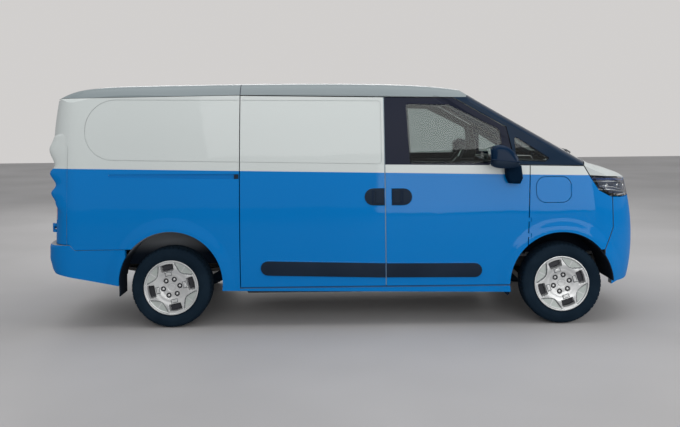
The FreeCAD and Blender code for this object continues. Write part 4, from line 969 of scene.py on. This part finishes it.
# %% Make the seats
CUSHION_LEAN, BACK_LEAN, REST_LEAN = -2.5, -9, -4
SEAT_ROWS = (("driver", 0.165, 0.655, (0.41,)), ("bench", -0.695, 0.055, (-0.12, -0.51)))
for label, y0, y1, rests in SEAT_ROWS:
    bolsters = (y0 + 0.10, y1 - 0.10) if label == "driver" else (y0 + 0.09, (y0 + y1) / 2, y1 - 0.09)
    pad(label + "_cushion", (0.475, y0, 0.712), (1.020, y1, 0.842), CUSHION_LEAN, (0.75, 0, 0.78),
        channels=bolsters)
    pad(label + "_back", (0.430, y0 + 0.01, 0.815), (0.552, y1 - 0.01, 1.425), BACK_LEAN, (0.50, 0, 0.83),
        channels=bolsters, across=(1.05, 1.25))
    for k, y in enumerate(rests):
        pad(label + "_headrest_" + str(k), (0.362, y - 0.125, 1.460), (0.450, y + 0.125, 1.650), REST_LEAN,
            (0.40, 0, 1.5), edge=0.034)
print("pads", len(pads))

# %% Seat bases and headrest posts
bases = []
for label, y0, y1, rests in SEAT_ROWS:
    bases.append(plate(label + "_base", rounded_box(0.520, 0.960, y0 + 0.03, y1 - 0.03, 0.05), 0.205, 0.012,
                       moved(0, 0, 0.6045), seat_base))
    for y in [rest + side for rest in rests for side in (-0.06, 0.06)]:
        deselect()
        bpy.ops.mesh.primitive_cylinder_add(radius=0.006, depth=0.10, location=(0.402, y, 1.435))
        post = modify(named(label + "_post"), "BEVEL", width=0.001, segments=2)
        settle(post).data.materials.append(silver)
        bases.append(post)
seat_frame = gather(bases, "seat_frame", 35)
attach(seat_frame, "body")
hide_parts("seats")
print("seat frame", len(seat_frame.data.polygons))

# %% [markdown]
# ## Steering wheel and dashboard
# The steering wheel is a padded ring with three spokes and a soft centre. It is drawn flat round its own
# axis and then tilted onto the column. The dashboard block comes from the frame and gets an instrument
# hood, a screen, air vents and a shelf that reaches to the foot of the windscreen.

# %% Make the steering wheel
COLUMN_TILT = math.radians(32)
HUB = [(0.055, -0.085), (0.060, 0.0), (0.055, 0.085), (0.0, 0.092), (-0.060, 0.060), (-0.085, 0.0),
       (-0.060, -0.060), (0.0, -0.092)]
column = Vector((-math.cos(COLUMN_TILT), 0, math.sin(COLUMN_TILT)))
deselect()
bpy.ops.mesh.primitive_torus_add(major_radius=0.184, minor_radius=0.0145, major_segments=SEGMENTS,
                                 minor_segments=20)
ring = named("ring")
for vertex in ring.data.vertices:
    turn = math.atan2(vertex.co.y, vertex.co.x)
    vertex.co.z *= 1.0 + 0.10 * math.cos(6 * turn)
ring.data.materials.append(cab_plastic)
parts = [ring]
for turn, finish in ((90, silver), (180, cab_plastic), (270, silver)):
    parts.append(plate("spoke", rounded_box(0.045, 0.178, -0.021, 0.021, 0.012), 0.012, 0.004,
                       turned(turn, "Z") @ moved(0, 0, -0.007), finish))
parts.append(plate("centre", HUB, 0.044, 0.016, moved(0, 0, -0.014), cab_plastic, smoothness=4, steps=6))
wheel = join(parts, "steering_wheel_ring")
wheel.data.transform(moved(1.050, 0.400, 1.235) @ column.to_track_quat("Z", "Y").to_matrix().to_4x4())
smooth(settle(wheel), 35)
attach(wheel, "steering_wheel_body")
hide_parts("steering_wheel")
print("steering wheel", [round(v, 3) for v in wheel.dimensions])

# %% Dress the dashboard
SHELF = [(1.40, -0.78), (1.60, -0.78), (1.80, -0.74), (1.905, -0.66), (1.955, -0.40), (1.970, 0.0),
         (1.955, 0.40), (1.905, 0.66), (1.80, 0.74), (1.60, 0.78), (1.40, 0.78)]


def facing_driver(x, y, z, tilt):
    """The place of a plate that faces backwards, tilted by so many degrees from lying flat."""
    return moved(x, y, z) @ turned(tilt, "Y") @ turned(90, "Z")


parts = [plate("hood", rounded_box(-0.17, 0.17, -0.055, 0.055, 0.05), 0.13, 0.020,
               facing_driver(1.352, 0.400, 1.262, 82), cab_plastic),
         plate("cluster", rounded_box(-0.145, 0.145, -0.038, 0.038, 0.012), 0.010, 0.002,
               facing_driver(1.284, 0.400, 1.262, 78), gloss_black),
         plate("screen", rounded_box(-0.135, 0.135, -0.080, 0.080, 0.012), 0.010, 0.002,
               facing_driver(1.262, 0.0, 1.225, 78), gloss_black)]
for y in (-0.70, -0.20, 0.20, 0.70):
    place = facing_driver(1.262, y, 1.100, 80)
    parts.append(plate("vent", rounded_box(-0.062, 0.062, -0.036, 0.036, 0.014), 0.014, 0.003, place,
                       black_plastic))
    for k in range(4):
        parts.append(plate("slat", rounded_box(-0.052, 0.052, -0.0022, 0.0022, 0.002, 2), 0.010, 0.0008,
                           place @ moved(0, -0.024 + 0.016 * k, 0.006), gloss_black))
parts.append(plate("shelf", SHELF, 0.012, 0.004, moved(0, 0, 1.247), cab_plastic))
dash_trim = gather(parts, "dash_trim", 35)
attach(dash_trim, "body")
print("dash trim", len(dash_trim.data.polygons))

# %% [markdown]
# ## Headlamps
# Behind the clear lens of a headlamp sits a dark bucket with three lamp units, a blue strip under its top
# edge and bright strips between them. The lens comes from the frame. The bucket is a copy of it drawn in a
# little on all sides, so it fits exactly, and the units and the strips follow the round of the nose just
# inside the lens.

# %% Make the lamp buckets
BUCKET_INSET = 0.024
bucket_finish = plain_finish("lamp_bucket", (0.005, 0.015, 0.045), (0.030, 0.045, 0.080), 14.0, 260.0, 0.2,
                             Roughness=0.25, Coat_Weight=0.1)
bright_finish = plain_finish("lamp_chrome", (0.62, 0.64, 0.66), (0.80, 0.82, 0.84), 20.0, 300.0, 0.05,
                             Roughness=0.12, Metallic=1.0)
blue_finish = plain_finish("lamp_blue", (0.010, 0.035, 0.14), (0.02, 0.06, 0.2), 9.0, 200.0, 0.05,
                           Roughness=0.15)
bucket = twin(nodes["headlamps"], "lamp_bucket")
bucket.data.materials.clear()
bucket.data.materials.append(bucket_finish)
activate(bucket)
clean_up(0.0001)
modify(bucket, "DISPLACE", strength=-BUCKET_INSET, mid_level=0.0)
smooth(bucket, 30)
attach(bucket, "body")
print("bucket", [round(v, 3) for v in bucket.dimensions])

# %% Lamp units and their strips
NOSE_POWER, NOSE_START_X = 3.0, 1.70
NOSE_AT = ((0.95, 2.465), (1.18, 2.415))
UNITS = ((0.655, 1.082, 0.030), (0.745, 1.092, 0.030), (0.828, 1.105, 0.026))
STRIPS = ((0.60, 0.885, 1.132, 1.172, 0.0085, blue_finish), (0.60, 0.89, 1.118, 1.152, 0.0042, bright_finish),
          (0.66, 0.875, 1.040, 1.086, 0.0042, bright_finish),
          (0.70, 0.855, 1.062, 1.112, 0.0030, bright_finish))


def nose_reach(share, front):
    """How far forward the rounded nose comes, at a share of the way out from the centre line."""
    return (front - NOSE_START_X) * (1 - share ** NOSE_POWER) ** (1 / NOSE_POWER)


def nose_point(y, z, inset):
    """A point a little inside the rounded front corner of the body."""
    share = min(0.9995, abs(y) / (panel_half_width(z) - inset))
    rise = (z - NOSE_AT[0][0]) / (NOSE_AT[1][0] - NOSE_AT[0][0])
    front = NOSE_AT[0][1] + (NOSE_AT[1][1] - NOSE_AT[0][1]) * soft_step(0, 1, rise) - inset
    return Vector((NOSE_START_X + nose_reach(share, front), y, z))


def nose_outward(y, z):
    along_skin = nose_point(y + 0.004, z, 0.0) - nose_point(y - 0.004, z, 0.0)
    outward = along_skin.cross(Vector((0, 0, 1))).normalized()
    return outward if outward.x > 0 else -outward


units = []
for side in (-1, 1):
    for y, z, radius in UNITS:
        bowl = [(-0.016, radius), (0.004, radius), (0.006, radius - 0.004), (-0.004, radius - 0.007),
                (0.001, radius * 0.6), (0.0035, 0.0)]
        units.append(spun("unit", bowl, tuple(nose_point(side * y, z, 0.022)),
                          tuple(nose_outward(side * y, z)), 40, bright_finish))
    for y0, y1, z0, z1, thick, finish in STRIPS:
        line = [nose_point(side * (y0 + (y1 - y0) * i / 9), z0 + (z1 - z0) * i / 9, 0.018) for i in range(10)]
        units.append(bar_along("strip", line, thick, finish, 0.9))
lamp_units = gather(units, "lamp_units", 40)
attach(lamp_units, "body")
print("lamp units", len(lamp_units.data.polygons))

# %% [markdown]
# ## Front intake
# The lower opening of the bumper is closed by a black plate with four bars in front of it, held by upright
# stays. Each bar is a round bar whose points follow the bumper's rounded front.

# %% Make the intake
INTAKE_HALF, INTAKE_FRONT_X = 0.442, 2.472
BAR_LOW_Z, BAR_STEP = 0.456, 0.027
BACK_PLATE = [(-INTAKE_HALF, 0.431), (INTAKE_HALF, 0.431), (INTAKE_HALF - 0.03, 0.554),
              (0.03 - INTAKE_HALF, 0.554)]


def bumper_point(y, z, inset):
    """A point a little inside the bumper's rounded front, at the height of the intake."""
    reach = nose_reach(abs(y) / panel_half_width(z), INTAKE_FRONT_X)
    return Vector((NOSE_START_X + reach - inset, y, z))


bars = [plate("intake_back", BACK_PLATE, 0.004, 0.001, moved(2.4405, 0, 0) @ (turned(90, "Z") @ upright),
              black_plastic)]
for k in range(4):
    half_long = INTAKE_HALF - 0.006 * k
    line = [bumper_point(half_long * (i / 8 - 1), BAR_LOW_Z + BAR_STEP * k, 0.008) for i in range(17)]
    bars.append(bar_along("bar", line, 0.0055, black_plastic, 1.0))
for y in (-0.27, -0.09, 0.09, 0.27):
    bars.append(plate("stay", rounded_box(-0.05, 0.05, -0.004, 0.004, 0.003, 3), 0.010, 0.001,
                      moved(2.4475, y, 0.496) @ turned(90, "Y"), black_plastic))
intake = gather(bars, "intake_bars", 35)
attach(intake, "body")
print("intake", [round(v, 3) for v in intake.dimensions])

# %% [markdown]
# ## Wipers
# Two wipers lie along the foot of the windscreen. The arm and the blade are thin tapering bars that follow
# the screen, so their points are worked out on the screen's own surface and lifted a little off it.

# %% Make the wipers
SCREEN_TOP_X, SCREEN_TOP_Z = 1.085, 1.884
SCREEN_SLOPE, SCREEN_BOW, SCREEN_CROWN = 0.58, 0.130, 0.020
SCREEN_OUT = (0.5, 0, 0.866)
BLADE_RUN = 0.862


def screen_point(run, y, lift):
    """A point on the windscreen: run is the way forward from its top, lift the height off the glass."""
    share = (y / 0.9) ** 2
    return Vector((SCREEN_TOP_X + run - SCREEN_BOW * share, y, SCREEN_TOP_Z - SCREEN_SLOPE * run
                   - SCREEN_CROWN * share)) + Vector(SCREEN_OUT) * lift


parts = []
for pivot_y, tip_y in ((0.62, -0.02), (-0.08, -0.70)):
    hub = screen_point(0.880, pivot_y, 0.002)
    arm = [hub, screen_point(0.874, pivot_y - 0.05, 0.015), screen_point(0.866, (pivot_y + tip_y) / 2, 0.013)]
    places = [pivot_y - 0.04 + (tip_y - pivot_y + 0.04) * k / 8 for k in range(9)]
    parts += [bar_along("arm", arm, 0.0055, black_plastic),
              bar_along("blade", [screen_point(BLADE_RUN, y, 0.0055) for y in places], 0.0045, rubber, 0.8),
              bar_along("spine", [screen_point(BLADE_RUN, y, 0.011) for y in places], 0.0030, black_plastic,
                        0.7),
              spun("hub", [(-0.012, 0.013), (0.006, 0.013), (0.009, 0.010), (0.010, 0.0)], tuple(hub),
                   SCREEN_OUT, 24, black_plastic)]
wipers = gather(parts, "wipers", 40)
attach(wipers, "body")
print("wipers", len(wipers.data.polygons))

# %% [markdown]
# ## Door cards
# Inside, each front door wears a moulded card with an armrest, a pocket and a pull. The card is a rounded
# plate against the door's inner wall, leaning with it, and the other pieces are plates laid on top of it.

# %% Make the door cards
CARD_Z = 0.80
CARD = [(0.345, 0.400), (1.270, 0.400), (1.330, 0.620), (1.400, 0.760), (1.425, 0.900), (1.425, 1.245),
        (0.345, 1.262)]
card_trim = plain_finish("door_card_plastic", (0.028, 0.029, 0.032), (0.042, 0.043, 0.048), 6.0, 1000.0, 0.4,
                         Roughness=0.65, Specular_IOR_Level=0.3)
parts = [side_plate(name, outline, CARD_Z, *sizes) for name, outline, *sizes in (
    ("card", CARD, 0.020, 0.006, -0.072, card_trim),
    ("armrest", rounded_box(0.52, 1.02, 0.925, 0.990, 0.028), 0.052, 0.018, -0.105, card_trim),
    ("pocket", rounded_box(0.42, 1.20, 0.440, 0.600, 0.045), 0.050, 0.014, -0.100, card_trim),
    ("pull", rounded_box(0.98, 1.10, 1.060, 1.095, 0.016), 0.022, 0.007, -0.090, silver),
    ("top_roll", rounded_box(0.345, 1.425, 1.215, 1.262, 0.020), 0.034, 0.010, -0.084, cab_plastic))]
right_card = gather(parts, "right_door_card", 35)
left_card = twin(right_card, "left_door_card", flip_y=True)
for card, body in ((right_card, "front_door_right"), (left_card, "front_door_left")):
    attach(card, body)
print("door cards", len(right_card.data.polygons))

# %% [markdown]
# ## Seals in the door gaps
# The gap between the two side doors shows a pale seal, and the gap over the sill one in the body's blue.
# Each is a slim bar that lies a little below the skin and follows the side of the van.

# %% Make the seals
SEAL_DEPTH = 0.005
seals = []
for name, x0, z0, x1, z1, thick, finish in (
        ("centre_seal", 0.310, 0.335, 0.310, 1.852, 0.0036, seam_light),
        ("sill_seal_near", -0.862, 0.3215, 1.305, 0.3215, 0.0038, sill_seal)):
    line = [(x0 + (x1 - x0) * i / 12, z0 + (z1 - z0) * i / 12) for i in range(13)]
    places = [(x, -panel_half_width(z) + SEAL_DEPTH, z) for x, z in line]
    seals.append(bar_along(name, places, thick, finish, 1.0))
side_seals = gather(seals, "side_seals", 60)
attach(side_seals, "body")
print("seals", len(side_seals.data.polygons))

# %% [markdown]
# ## Small outside pieces
# A bracket at the front end of the slide rail, a fin under the sill behind each front wheel, a tread plate
# on the rear bumper and the pull of the rear doors. All are small rounded plates.

# %% Make the small outside pieces
FIN = [(1.262, 0.290), (1.322, 0.290), (1.312, 0.240), (1.296, 0.230), (1.286, 0.240)]
parts = [side_plate("bracket", rounded_box(-0.912, -0.878, 1.203, 1.240, 0.006), 1.222, 0.012, 0.002, -0.006,
                    black_plastic)]
for side in (-1, 1):
    parts.append(plate("fin", FIN, 0.180, 0.004, moved(0, side * 0.790, 0) @ upright, liner_felt))
parts.append(plate("tread_plate", rounded_box(-0.56, 0.56, -0.022, 0.022, 0.012), 0.006, 0.002,
                   moved(-2.452, 0, 0.6865) @ turned(90, "Z"), black_plastic))
small = gather(parts, "small_outside", 35)
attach(small, "body")
pull = plate("rear_pull", rounded_box(-0.085, 0.085, -0.028, 0.028, 0.026), 0.022, 0.007,
             moved(-2.462, -0.125, 1.150) @ (turned(-90, "Z") @ upright), black_plastic)
smooth(settle(pull), 35)
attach(pull, "rear_door_right_body")
print("small pieces", len(small.data.polygons))

# %% [markdown]
# ## Camera
# The photograph was taken from the right side, about six metres from the van's flank and 1.7 metres up. The
# picture's horizon lies above its middle, so the camera stays level and the frame is shifted down, which
# keeps the van's uprights upright. The picture also leans by a little more than half a degree.

# %% Camera
PICTURE_WIDTH, SENSOR_WIDTH, FOCAL_PIXELS = 680, 36.0, 781.6
CAMERA = (-0.049, -7.237, 1.68)
LEAN, SHIFT_DOWN = -0.64, -0.139
bpy.ops.object.camera_add(location=CAMERA, rotation=(0, 0, 0))
camera = bpy.context.object
camera.name = "camera"
camera.matrix_world = moved(*CAMERA) @ turned(90, "X") @ turned(LEAN, "Z")
camera.data.sensor_width = SENSOR_WIDTH
camera.data.lens = FOCAL_PIXELS / PICTURE_WIDTH * SENSOR_WIDTH
camera.data.shift_y = SHIFT_DOWN
bpy.context.scene.camera = camera
print("lens", round(camera.data.lens, 1))

# %% [markdown]
# ## Floor, backdrop and light
# The van stands on a plain pale floor under broad soft light. The backdrop is the world itself: what the
# camera and the reflections see of it is a pale grey, while the light it casts is set apart, so the
# background never has to be brightened with more light on the van.

# %% Floor, backdrop and light
BACKDROP, WORLD_LIGHT = (0.64, 0.625, 0.615), (0.52, 0.53, 0.55)
FLOOR_TONE = ((0.36, 0.35, 0.345), (0.43, 0.42, 0.415))
LAMPS = (("overhead", (0.0, -0.8, 5.6), (0.0, 0.0, 0.0), 8.0, 4.0, 165),
         ("camera_side", (1.5, -9.5, 4.6), (0.0, 0.0, 0.9), 9.0, 3.0, 270),
         ("low_side", (7.2, -14.0, 1.7), (7.2, 0.0, 1.5), 12.6, 3.0, 380),
         ("far_side", (-1.0, 8.5, 4.2), (0.0, 0.0, 1.0), 8.0, 3.0, 260),
         ("nose_side", (8.5, -1.5, 3.6), (1.5, 0.0, 0.9), 5.0, 2.5, 150))
deselect()
bpy.ops.mesh.primitive_plane_add(size=60, location=(0, -5.0, 0))
floor = named("floor")
floor_finish, tree, shader, place = new_finish("pale_floor", Roughness=0.60, Specular_IOR_Level=0.3)
varied(tree, shader, place, 0.35, *FLOOR_TONE)
floor.data.materials.append(floor_finish)
floor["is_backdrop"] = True

world = bpy.data.worlds.new("studio")
bpy.context.scene.world = world
world.use_nodes = True
tree = world.node_tree
rays = add(tree, "ShaderNodeLightPath").outputs
seen = work_out(tree, "Math", "MAXIMUM", rays["Is Camera Ray"], rays["Is Glossy Ray"])[0]
seen = work_out(tree, "Math", "MAXIMUM", seen, rays["Is Transmission Ray"])[0]
tree.links.new(mixed(tree, seen, WORLD_LIGHT, BACKDROP), tree.nodes["Background"].inputs["Color"])

for name, place, target, wide, high, watts in LAMPS:
    deselect()
    bpy.ops.object.light_add(type="AREA", location=place)
    lamp = bpy.context.object
    lamp.name = name
    lamp.data.shape = "RECTANGLE"
    lamp.data.size, lamp.data.size_y = wide, high
    lamp.data.energy = watts
    lamp.rotation_euler = (Vector(target) - Vector(place)).to_track_quat("-Z", "Y").to_euler()

# %% [markdown]
# ## Finish
# The box round the dressed van is worked out, and the colour view is set to Standard.

# %% Finish
low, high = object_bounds()
bpy.context.scene.view_settings.view_transform = "Standard"
